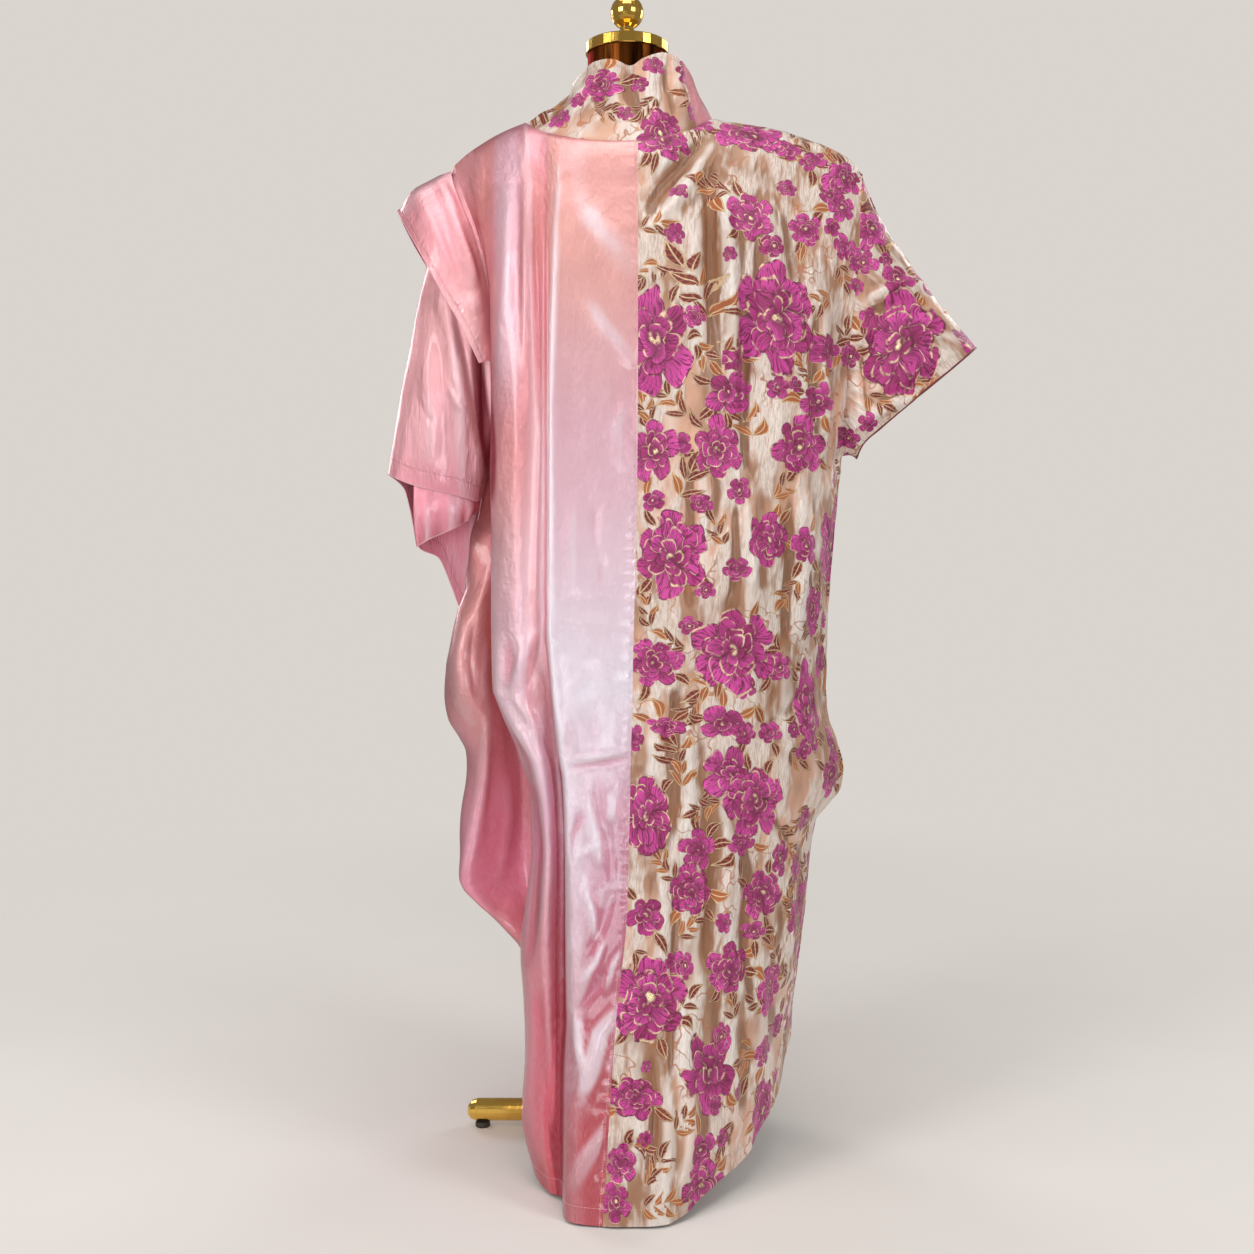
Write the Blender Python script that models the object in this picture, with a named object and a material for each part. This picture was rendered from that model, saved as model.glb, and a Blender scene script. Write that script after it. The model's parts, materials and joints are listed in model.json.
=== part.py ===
# Brocade and satin dress hanging on a limbless dress form.
# The back of the dress faces -Y, its satin half lies at -X, up is +Z, metres.
import math

import bmesh
import bpy
from mathutils import Matrix, Vector

for old in list(bpy.data.objects):
    bpy.data.objects.remove(old, do_unlink=True)

# Main sizes of the cloth
SATIN_WALL = 0.0016
BROCADE_WALL = 0.0020
SLEEVE_WALL = 0.0012
SEAM_GAP = 0.0003
CLOTH_SEAM_GAP = 0.0004
CURVED_SEAM_GAP = 0.0005
UNDERARM_Z = 0.985
HEM_BLEND_Z = 0.35
SIDE_NECK_LEFT = (-0.1465, -0.004, 1.4655)
SIDE_NECK_RIGHT = (0.1247, -0.004, 1.4700)
SHOULDER_LEFT = (-0.2495, 0.0, 1.4074)
SHOULDER_RIGHT = (0.3410, 0.0, 1.3930)

# Main sizes of the dress form
POLE_RADIUS = 0.0125
NECK_RADIUS = 0.0570
CAP_RADIUS = 0.0600
CAP_LOW_Z, CAP_TOP_Z = 1.5660, 1.5820
BALL_RADIUS, BALL_Z = 0.0242, 1.6280
BALL_FOOT = 0.895
LEG_RADIUS = 0.0160
LEG_REACH = 0.2380
LEG_TIP_Z, LEG_HUB_Z = 0.0235, 0.0360
LEG_TURNS = (170.0, 290.0, 50.0)
HUB_RADIUS = 0.0260
FOOT_INSET, FOOT_RADIUS = 0.022, 0.0110
FOOT_CLEARANCE = 0.0014

# Levels of the cloth sections below the underarm, hem first
LEVELS = (0.0, 0.04, 0.09, 0.145, 0.20, 0.25, 0.30, 0.35, 0.375, 0.402, 0.43, 0.46, 0.48, 0.507,
          0.531, 0.555, 0.578, 0.611, 0.65, 0.69, 0.725, 0.757, 0.80, 0.84, 0.88, 0.93, UNDERARM_Z)
UPPER_SHARES = (0.04, 0.10, 0.19, 0.29, 0.40, 0.51, 0.62, 0.73, 0.83, 0.92, 1.0)
EDGE_COLUMNS = 5

# Plan of each fold line: rows of height, x and y
TRACKS = {
    "back_seam": [
        (0.000, -0.030, -0.312), (0.090, -0.025, -0.290), (0.160, -0.020, -0.272),
        (0.230, -0.015, -0.255), (0.300, -0.007, -0.240), (0.370, 0.000, -0.226),
        (0.440, 0.002, -0.213), (0.510, 0.004, -0.201), (0.570, 0.005, -0.192),
        (0.630, 0.007, -0.183), (0.690, 0.008, -0.175), (0.770, 0.010, -0.165),
        (0.860, 0.012, -0.155), (0.950, 0.014, -0.147), (1.100, 0.015, -0.140),
        (1.250, 0.015, -0.133), (1.360, 0.015, -0.114)],
    "flat_edge": [
        (0.000, -0.076, -0.298), (0.090, -0.075, -0.276), (0.160, -0.074, -0.260),
        (0.230, -0.072, -0.245), (0.300, -0.073, -0.231), (0.370, -0.074, -0.219),
        (0.440, -0.076, -0.208), (0.510, -0.079, -0.197), (0.570, -0.083, -0.188),
        (0.630, -0.089, -0.180), (0.690, -0.095, -0.172), (0.770, -0.103, -0.162),
        (0.860, -0.104, -0.153), (0.950, -0.104, -0.145), (1.100, -0.103, -0.139),
        (1.250, -0.101, -0.132), (1.360, -0.098, -0.114)],
    "valley": [
        (0.000, -0.085, -0.235), (0.090, -0.087, -0.215), (0.160, -0.087, -0.200),
        (0.230, -0.085, -0.188), (0.300, -0.085, -0.178), (0.370, -0.085, -0.170),
        (0.440, -0.085, -0.163), (0.510, -0.088, -0.159), (0.570, -0.094, -0.156),
        (0.630, -0.100, -0.155), (0.690, -0.106, -0.153), (0.770, -0.114, -0.146),
        (0.860, -0.116, -0.139), (0.950, -0.116, -0.133), (1.100, -0.116, -0.128),
        (1.250, -0.114, -0.122), (1.360, -0.112, -0.104)],
    "ridge": [
        (0.000, -0.103, -0.212), (0.090, -0.113, -0.203), (0.160, -0.111, -0.195),
        (0.230, -0.112, -0.187), (0.300, -0.116, -0.179), (0.370, -0.110, -0.173),
        (0.440, -0.107, -0.168), (0.510, -0.112, -0.165), (0.570, -0.122, -0.164),
        (0.630, -0.139, -0.162), (0.690, -0.144, -0.160), (0.770, -0.152, -0.154),
        (0.860, -0.153, -0.147), (0.950, -0.152, -0.141), (1.100, -0.148, -0.136),
        (1.250, -0.143, -0.129), (1.360, -0.140, -0.110)],
    "roll": [
        (0.000, -0.122, -0.165), (0.090, -0.141, -0.152), (0.160, -0.138, -0.142),
        (0.230, -0.141, -0.134), (0.300, -0.146, -0.129), (0.370, -0.138, -0.126),
        (0.440, -0.130, -0.124), (0.510, -0.132, -0.121), (0.570, -0.150, -0.119),
        (0.630, -0.173, -0.117), (0.690, -0.184, -0.115), (0.770, -0.188, -0.110),
        (0.860, -0.188, -0.105), (0.950, -0.190, -0.101), (1.100, -0.188, -0.096),
        (1.200, -0.190, -0.092), (1.280, -0.197, -0.084), (1.360, -0.206, -0.070)],
    "left_side": [
        (0.000, -0.108, -0.085), (0.160, -0.112, -0.072), (0.270, -0.115, -0.055),
        (0.340, -0.105, -0.035), (0.440, -0.103, -0.030), (0.530, -0.114, -0.030),
        (0.600, -0.138, -0.035), (0.690, -0.150, -0.037), (0.760, -0.155, -0.034),
        (0.860, -0.160, -0.028), (0.930, -0.165, -0.018), (UNDERARM_Z, -0.170, 0.000)],
    "inner_turn": [
        (0.000, -0.112, -0.060), (0.160, -0.118, -0.050), (0.270, -0.126, -0.038),
        (0.340, -0.140, -0.008), (0.440, -0.150, 0.002), (0.530, -0.154, 0.000),
        (0.600, -0.168, -0.016), (0.690, -0.180, -0.022), (0.760, -0.180, -0.020),
        (0.860, -0.172, -0.010), (0.930, -0.172, 0.002), (UNDERARM_Z, -0.173, 0.014),
        (1.010, -0.168, 0.036), (1.050, -0.169, 0.050), (1.100, -0.173, 0.059),
        (1.200, -0.187, 0.067), (1.360, -0.222, 0.046)],
    "drape_crease": [
        (0.000, -0.115, -0.030), (0.160, -0.124, -0.026), (0.270, -0.142, -0.024),
        (0.310, -0.176, -0.028), (0.340, -0.206, -0.032), (0.376, -0.230, -0.034),
        (0.439, -0.213, -0.038), (0.537, -0.199, -0.044), (0.600, -0.206, -0.052),
        (0.650, -0.222, -0.056), (0.700, -0.226, -0.052), (0.760, -0.216, -0.040),
        (0.820, -0.198, -0.026), (0.880, -0.183, -0.006), (0.930, -0.179, 0.012),
        (UNDERARM_Z, -0.177, 0.030), (1.010, -0.168, 0.050), (1.050, -0.165, 0.063),
        (1.100, -0.168, 0.072), (1.200, -0.179, 0.079), (1.360, -0.207, 0.057)],
    "drape_edge": [
        (0.000, -0.116, 0.000), (0.160, -0.126, 0.004), (0.250, -0.140, 0.006),
        (0.273, -0.155, 0.004), (0.337, -0.212, 0.000), (0.366, -0.237, 0.000),
        (0.385, -0.242, 0.000), (0.428, -0.242, 0.000), (0.530, -0.2335, 0.000),
        (0.557, -0.235, 0.000), (0.578, -0.244, 0.000), (0.607, -0.260, 0.000),
        (0.640, -0.265, 0.000), (0.679, -0.2625, 0.000), (0.724, -0.253, 0.000),
        (0.760, -0.245, 0.000), (0.800, -0.232, 0.000), (0.840, -0.223, 0.000),
        (0.870, -0.214, 0.002), (0.895, -0.202, 0.008), (0.930, -0.189, 0.022), (UNDERARM_Z, -0.178, 0.048),
        (1.010, -0.170, 0.062), (1.050, -0.163, 0.074), (1.100, -0.162, 0.084),
        (1.200, -0.168, 0.089), (1.360, -0.190, 0.065)],
    "front_left": [
        (0.000, -0.100, 0.105), (0.160, -0.108, 0.108), (0.300, -0.130, 0.105),
        (0.366, -0.185, 0.085), (0.430, -0.200, 0.080), (0.640, -0.205, 0.078),
        (0.800, -0.190, 0.085), (UNDERARM_Z, -0.160, 0.100), (1.100, -0.150, 0.108),
        (1.360, -0.148, 0.075)],
    "front_mid_left": [
        (0.000, -0.050, 0.165), (0.300, -0.070, 0.160), (0.640, -0.090, 0.148),
        (0.900, -0.085, 0.142), (1.150, -0.075, 0.145), (1.360, -0.070, 0.112)],
    "front_seam": [
        (0.000, 0.012, 0.182), (0.300, 0.013, 0.176), (0.640, 0.014, 0.164),
        (0.900, 0.015, 0.152), (1.150, 0.015, 0.156), (1.360, 0.015, 0.122)],
    "right_quarter": [
        (0.000, 0.050, -0.312), (0.170, 0.060, -0.266), (0.300, 0.075, -0.234),
        (0.450, 0.085, -0.206), (0.570, 0.090, -0.187), (0.690, 0.095, -0.171),
        (0.830, 0.100, -0.155), (1.000, 0.102, -0.139), (1.200, 0.108, -0.130),
        (1.360, 0.118, -0.106)],
    "right_half": [
        (0.000, 0.132, -0.218), (0.170, 0.146, -0.198), (0.300, 0.160, -0.180),
        (0.450, 0.172, -0.163), (0.570, 0.180, -0.150), (0.690, 0.186, -0.140),
        (0.830, 0.192, -0.129), (1.000, 0.200, -0.115), (1.200, 0.205, -0.106),
        (1.360, 0.208, -0.086)],
    "right_turn": [
        (0.000, 0.200, -0.098), (0.170, 0.210, -0.098), (0.300, 0.224, -0.094),
        (0.430, 0.236, -0.088), (0.480, 0.245, -0.088), (0.530, 0.256, -0.090),
        (0.611, 0.250, -0.084), (0.690, 0.253, -0.079), (0.830, 0.263, -0.073),
        (1.000, 0.276, -0.065), (1.200, 0.282, -0.066), (1.360, 0.283, -0.054)],
    "right_side": [
        (0.000, 0.236, 0.000), (0.170, 0.238, 0.000), (0.230, 0.246, 0.000),
        (0.300, 0.254, 0.000), (0.370, 0.261, 0.000), (0.433, 0.2675, 0.000),
        (0.460, 0.274, 0.000), (0.480, 0.294, 0.000), (0.507, 0.3115, 0.000),
        (0.531, 0.3145, 0.000), (0.573, 0.3045, 0.000), (0.611, 0.2920, 0.000),
        (0.660, 0.288, 0.000), (0.770, 0.293, 0.000), (0.860, 0.300, 0.000),
        (0.950, 0.309, 0.000), (UNDERARM_Z, 0.312, 0.000)],
    "front_turn_right": [
        (0.000, 0.198, 0.085), (0.300, 0.220, 0.082), (0.430, 0.232, 0.080),
        (0.531, 0.246, 0.080), (0.690, 0.246, 0.078), (1.000, 0.272, 0.072),
        (1.360, 0.282, 0.048)],
    "front_half_right": [
        (0.000, 0.135, 0.142), (0.300, 0.155, 0.136), (0.690, 0.180, 0.124),
        (1.000, 0.195, 0.116), (1.360, 0.208, 0.080)],
    "front_quarter_right": [
        (0.000, 0.075, 0.172), (0.300, 0.085, 0.166), (0.690, 0.098, 0.152),
        (1.000, 0.102, 0.144), (1.360, 0.118, 0.110)],
    "armhole_left_back": [
        (UNDERARM_Z, -0.170, 0.000), (1.000, -0.171, -0.018), (1.027, -0.171, -0.029),
        (1.050, -0.171, -0.036), (1.100, -0.174, -0.044), (1.200, -0.188, -0.055), (1.260, -0.201, -0.052),
        (1.310, -0.216, -0.044), (1.360, -0.236, -0.028), (1.390, -0.246, -0.013),
        (1.4074, -0.2495, 0.000)],
    "armhole_left_front": [
        (UNDERARM_Z, -0.170, 0.000), (1.000, -0.174, 0.018), (1.027, -0.176, 0.029),
        (1.050, -0.179, 0.036), (1.100, -0.185, 0.044), (1.200, -0.200, 0.052), (1.260, -0.208, 0.050),
        (1.310, -0.219, 0.042), (1.360, -0.236, 0.028), (1.390, -0.246, 0.013),
        (1.4074, -0.2495, 0.000)],
    "armhole_right_back": [
        (UNDERARM_Z, 0.312, 0.000), (1.000, 0.312, -0.016), (1.027, 0.312, -0.025),
        (1.050, 0.313, -0.030), (1.100, 0.315, -0.036), (1.200, 0.323, -0.040), (1.260, 0.330, -0.040),
        (1.310, 0.333, -0.034), (1.350, 0.336, -0.024), (1.380, 0.340, -0.010),
        (1.3930, 0.341, 0.000)],
    "armhole_right_front": [
        (UNDERARM_Z, 0.312, 0.000), (1.000, 0.312, 0.016), (1.027, 0.312, 0.025),
        (1.050, 0.313, 0.030), (1.100, 0.315, 0.036), (1.200, 0.323, 0.040), (1.260, 0.330, 0.040),
        (1.310, 0.333, 0.034), (1.350, 0.336, 0.024), (1.380, 0.340, 0.010),
        (1.3930, 0.341, 0.000)],
}

# Height of the hem under each fold line
HEM = {"back_seam": 0.002, "flat_edge": 0.003, "valley": 0.006, "ridge": 0.004, "roll": 0.012,
       "left_side": 0.075, "inner_turn": 0.080, "drape_crease": 0.085, "drape_edge": 0.085,
       "front_left": 0.070, "front_mid_left": 0.070, "front_seam": 0.075,
       "right_quarter": 0.004, "right_half": 0.030, "right_turn": 0.076, "right_side": 0.160,
       "front_turn_right": 0.130, "front_half_right": 0.095, "front_quarter_right": 0.080}

# Each panel: fold lines from one seam to the other with the number of steps after each
PANELS = {
    "back_satin": [("back_seam", 6), ("flat_edge", 2), ("valley", 2), ("ridge", 4), ("roll", 4),
                   ("left_side", 0)],
    "front_satin": [("left_side", 1), ("inner_turn", 2), ("drape_crease", 2), ("drape_edge", 3),
                    ("front_left", 3), ("front_mid_left", 3), ("front_seam", 0)],
    "back_brocade": [("back_seam", 4), ("right_quarter", 3), ("right_half", 3),
                     ("right_turn", 3), ("right_side", 0)],
    "front_brocade": [("right_side", 3), ("front_turn_right", 3), ("front_half_right", 3),
                      ("front_quarter_right", 4), ("front_seam", 0)],
}
ARMHOLES = {"back_satin": "armhole_left_back", "front_satin": "armhole_left_front",
            "back_brocade": "armhole_right_back", "front_brocade": "armhole_right_front"}

# Neck seam from the centre back to each side neck point, and on round to the centre front
NECK_BACK_LEFT = [(0.0153, -0.0850, 1.4180), (-0.0377, -0.0800, 1.4195), (-0.0730, -0.0700, 1.4262),
                  (-0.1165, -0.0430, 1.4420), SIDE_NECK_LEFT]
NECK_BACK_RIGHT = [(0.0153, -0.0850, 1.4180), (0.0461, -0.0800, 1.4250), (0.0891, -0.0550, 1.4420),
                   SIDE_NECK_RIGHT]
NECK_FRONT_LEFT = [SIDE_NECK_LEFT, (-0.1180, 0.0420, 1.4420), (-0.0600, 0.0750, 1.4180),
                   (0.0153, 0.0860, 1.4080)]
NECK_FRONT_RIGHT = [SIDE_NECK_RIGHT, (0.0950, 0.0450, 1.4430), (0.0560, 0.0740, 1.4200),
                    (0.0153, 0.0860, 1.4080)]
SHOULDER_LINE_LEFT = [SIDE_NECK_LEFT, (-0.1840, -0.002, 1.4510), (-0.2277, 0.0, 1.4260),
                      SHOULDER_LEFT]
SHOULDER_LINE_RIGHT = [SIDE_NECK_RIGHT, (0.1930, -0.002, 1.4610), (0.2510, 0.0, 1.4466),
                       (0.3180, 0.0, 1.4190), SHOULDER_RIGHT]

# Top edge of the collar, in the order of the neck columns, from the right side neck point
COLLAR_TOP = [(0.0970, -0.0120, 1.5170), (0.0800, -0.0440, 1.5410), (0.0540, -0.0640, 1.5490),
              (0.0230, -0.0690, 1.5390), (0.0050, -0.0700, 1.5280), (-0.0200, -0.0700, 1.5370),
              (-0.0450, -0.0660, 1.5350), (-0.0620, -0.0500, 1.5270), (-0.0760, -0.0220, 1.5180),
              (-0.0830, 0.0150, 1.5120), (-0.0700, 0.0550, 1.4950), (-0.0350, 0.0800, 1.4800),
              (0.0100, 0.0880, 1.4720), (0.0500, 0.0760, 1.4820), (0.0800, 0.0420, 1.5000)]
COLLAR_ROWS = 6
FACING_COLUMNS = 3

# Sleeves: control point and hem point at even stations, from the top round by the back
SLEEVE_LEFT = [
    ((-0.302, -0.004, 1.250), (-0.3438, -0.006, 0.958)),
    ((-0.294, -0.040, 1.215), (-0.3300, -0.036, 0.951)),
    ((-0.284, -0.070, 1.150), (-0.3020, -0.052, 0.940)),
    ((-0.256, -0.078, 1.085), (-0.2700, -0.056, 0.932)),
    ((-0.226, -0.070, 1.035), (-0.2400, -0.052, 0.926)),
    ((-0.204, -0.042, 0.990), (-0.2150, -0.040, 0.918)),
    ((-0.204, -0.004, 0.978), (-0.2100, -0.014, 0.920)),
    ((-0.216, 0.044, 0.965), (-0.2380, 0.044, 0.800)),
    ((-0.230, 0.066, 0.985), (-0.2460, 0.052, 0.762)),
    ((-0.258, 0.076, 1.060), (-0.2780, 0.054, 0.836)),
    ((-0.280, 0.066, 1.130), (-0.3090, 0.038, 0.856)),
    ((-0.294, 0.036, 1.210), (-0.3240, 0.016, 0.936))]
SLEEVE_RIGHT = [
    ((0.364, 0.000, 1.306), (0.506, 0.000, 1.142)),
    ((0.370, -0.034, 1.270), (0.494, -0.024, 1.133)),
    ((0.370, -0.056, 1.215), (0.464, -0.038, 1.108)),
    ((0.362, -0.062, 1.150), (0.422, -0.044, 1.074)),
    ((0.346, -0.056, 1.075), (0.378, -0.040, 1.036)),
    ((0.328, -0.034, 1.010), (0.340, -0.024, 1.002)),
    ((0.324, 0.000, 0.988), (0.333, 0.000, 0.982)),
    ((0.328, 0.034, 1.010), (0.340, 0.024, 1.000)),
    ((0.346, 0.056, 1.075), (0.378, 0.040, 1.032)),
    ((0.362, 0.062, 1.150), (0.422, 0.044, 1.070)),
    ((0.370, 0.056, 1.215), (0.464, 0.038, 1.104)),
    ((0.370, 0.034, 1.270), (0.494, 0.024, 1.130))]
SLEEVE_ROWS = {"left_sleeve": 10, "right_sleeve": 8}

# Free edge of the cap over the left sleeve, from its low end at the back over the top
CAP_EDGE = [(-0.206, -0.086, 1.108), (-0.228, -0.090, 1.155), (-0.2574, -0.088, 1.206),
            (-0.285, -0.074, 1.256), (-0.309, -0.046, 1.298), (-0.3336, 0.000, 1.340),
            (-0.309, 0.050, 1.290), (-0.275, 0.082, 1.235), (-0.240, 0.088, 1.165),
            (-0.212, 0.080, 1.110)]
CAP_SPAN = 0.60
CAP_COLUMNS = 22
CAP_ROWS = 5
CAP_START = 0.30
CAP_CLEARANCE = 0.0029
CAP_LIFT, CAP_CROWN_LIFT = 0.006, 0.014
CAP_SLICE = 0.01

# Sections of the torso: height, half width, half depth, middle y
TORSO = [(0.790, 0.020, 0.018, 0.000), (0.792, 0.060, 0.045, 0.000), (0.802, 0.105, 0.076, 0.000),
         (0.830, 0.142, 0.098, 0.000), (0.900, 0.150, 0.104, -0.002), (0.980, 0.136, 0.096, 0.000),
         (1.060, 0.118, 0.086, 0.002), (1.140, 0.126, 0.092, 0.006), (1.220, 0.140, 0.104, 0.010),
         (1.300, 0.154, 0.096, 0.006), (1.350, 0.164, 0.080, 0.000), (1.388, 0.170, 0.066, -0.002),
         (1.412, 0.168, 0.056, -0.003), (1.432, 0.160, 0.050, -0.004), (1.4465, 0.147, 0.046, -0.004),
         (1.4555, 0.128, 0.044, -0.004), (1.460, 0.104, 0.044, -0.002), (1.464, 0.078, 0.046, 0.000),
         (1.467, 0.056, 0.048, 0.000)]
ROUND_STEPS = 32
LEG_STEPS = 20
SIDE_SPLIT = 4.0

COLOURS = {
    "satin": ((0.83, 0.33, 0.40, 1.0), 0.32, 0.0),
    "brocade": ((0.58, 0.36, 0.30, 1.0), 0.42, 0.0),
    "form": ((0.16, 0.05, 0.015, 1.0), 0.35, 0.0),
    "gold": ((0.80, 0.52, 0.10, 1.0), 0.22, 1.0),
    "foot": ((0.04, 0.03, 0.02, 1.0), 0.60, 0.0),
}
materials = {}


def material(name):
    """Return the named plain material."""
    if name not in materials:
        colour, roughness, metallic = COLOURS[name]
        made = bpy.data.materials.new(name)
        made.use_nodes = True
        shader = made.node_tree.nodes["Principled BSDF"]
        shader.inputs["Base Color"].default_value = colour
        shader.inputs["Roughness"].default_value = roughness
        shader.inputs["Metallic"].default_value = metallic
        made.diffuse_color = colour
        materials[name] = made
    return materials[name]


def curve(points, t, closed=False):
    """Point at t (0 to 1) of a smooth curve through points, with shortened tangents."""
    count = len(points)
    spans = count if closed else count - 1
    place = min(max(t, 0.0), 1.0) * spans
    index = min(int(place), spans - 1)
    local = place - index

    def at(i):
        if closed:
            return Vector(points[i % count])
        return Vector(points[min(max(i, 0), count - 1)])

    before, first, second, after = at(index - 1), at(index), at(index + 1), at(index + 2)
    reach = (second - first).length
    slope_a = second - before
    slope_b = after - first
    if slope_a.length > 0:
        slope_a = slope_a.normalized() * min(reach, slope_a.length * 0.5)
    if slope_b.length > 0:
        slope_b = slope_b.normalized() * min(reach, slope_b.length * 0.5)
    a = 2 * local ** 3 - 3 * local ** 2 + 1
    b = local ** 3 - 2 * local ** 2 + local
    c = -2 * local ** 3 + 3 * local ** 2
    d = local ** 3 - local ** 2
    return first * a + slope_a * b + second * c + slope_b * d


def track(name, z):
    """Plan point of one fold line at a height."""
    rows = TRACKS[name]
    if z <= rows[0][0]:
        return Vector((rows[0][1], rows[0][2]))
    for low, high in zip(rows, rows[1:]):
        if z <= high[0]:
            share = (z - low[0]) / (high[0] - low[0])
            return Vector((low[1], low[2])).lerp(Vector((high[1], high[2])), share)
    return Vector((rows[-1][1], rows[-1][2]))


def hem_at(keys, place):
    """Height of the hem at a place along the fold lines of a panel."""
    index = min(int(place), len(keys) - 2)
    local = place - index
    share = local * local * (3 - 2 * local)
    return HEM[keys[index]] * (1 - share) + HEM[keys[index + 1]] * share


def section_point(panel, place, z, upper):
    """Point of a panel's section at a place along its fold lines."""
    keys = [key for key, steps in PANELS[panel]]
    if upper:
        swap = {"left_side": ARMHOLES[panel], "right_side": ARMHOLES[panel]}
        keys = [swap.get(key, key) for key in keys]
    plan = [track(key, z) for key in keys]
    point = curve([(p.x, p.y, 0.0) for p in plan], place / (len(keys) - 1))
    return Vector((point.x, point.y, z))


def columns(panel):
    """Places along the fold lines of a panel, one for each column."""
    places = []
    for index, (key, steps) in enumerate(PANELS[panel]):
        places += [index + step / steps for step in range(steps)]
    return places + [float(len(PANELS[panel]) - 1)]


def top_points(panel):
    """Points of a panel's top edge, neck seam and shoulder seam, one for each column."""
    places = columns(panel)
    if panel == "back_satin":
        neck, shoulder, edge = NECK_BACK_LEFT, SHOULDER_LINE_LEFT, 3.0
    elif panel == "back_brocade":
        neck, shoulder, edge = NECK_BACK_RIGHT, SHOULDER_LINE_RIGHT, 1.0
    elif panel == "front_satin":
        neck, shoulder, edge = NECK_FRONT_LEFT, SHOULDER_LINE_LEFT, 4.0
    else:
        neck, shoulder, edge = NECK_FRONT_RIGHT, SHOULDER_LINE_RIGHT, 3.0
    at_edge = places.index(edge)
    last = len(places) - 1
    points = []
    for index in range(len(places)):
        if panel.startswith("back"):
            if index <= at_edge:
                points.append(curve(neck, index / at_edge))
            else:
                points.append(curve(shoulder, (index - at_edge) / (last - at_edge)))
        elif index >= at_edge:
            points.append(curve(neck, (index - at_edge) / (last - at_edge)))
        else:
            points.append(curve(shoulder, (at_edge - index) / at_edge))
    return points


def panel_grid(panel):
    """Rows of points of a body panel from the hem to the neck and shoulder."""
    places = columns(panel)
    keys = [key for key, steps in PANELS[panel]]
    tops = top_points(panel)
    grid = []
    for level in LEVELS:
        row = []
        for place in places:
            hem = hem_at(keys, place)
            z = level
            if level < HEM_BLEND_Z:
                z = hem + level * (HEM_BLEND_Z - hem) / HEM_BLEND_Z
            row.append(section_point(panel, place, z, False))
        grid.append(row)
    side_index = len(places) - 1 if panel.startswith("back") else 0
    for t in UPPER_SHARES:
        row = []
        for index, place in enumerate(places):
            top = tops[index]
            z = UNDERARM_Z + (top.z - UNDERARM_Z) * t
            ring = section_point(panel, place, z, True)
            x = ring.x + (top.x - ring.x) * t ** 3
            y = top.y + (ring.y - top.y) * math.sqrt(1.0 - t ** 4)
            row.append(Vector((x, y, z)))
        edge = row[side_index]
        plan = track(ARMHOLES[panel], edge.z)
        drift = Vector((plan.x - edge.x, plan.y - edge.y, 0.0))
        for index in range(len(places)):
            away = abs(index - side_index) / EDGE_COLUMNS
            if away < 1.0:
                row[index] = row[index] + drift * (1.0 - away)
        grid.append(row)
    return grid


def sleeve_grid(ring, stations, rows):
    """Rows of a sleeve from the armhole ring to its hem."""
    count = len(ring)
    controls = [station[0] for station in stations]
    hems = [station[1] for station in stations]
    grid = []
    for row in range(rows + 1):
        s = row / rows
        line = []
        for index, start in enumerate(ring):
            control = curve(controls, index / count, closed=True)
            hem = curve(hems, index / count, closed=True)
            line.append(start * (1 - s) ** 2 + control * (2 * s * (1 - s)) + hem * s ** 2)
        grid.append(line)
    return grid


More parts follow.
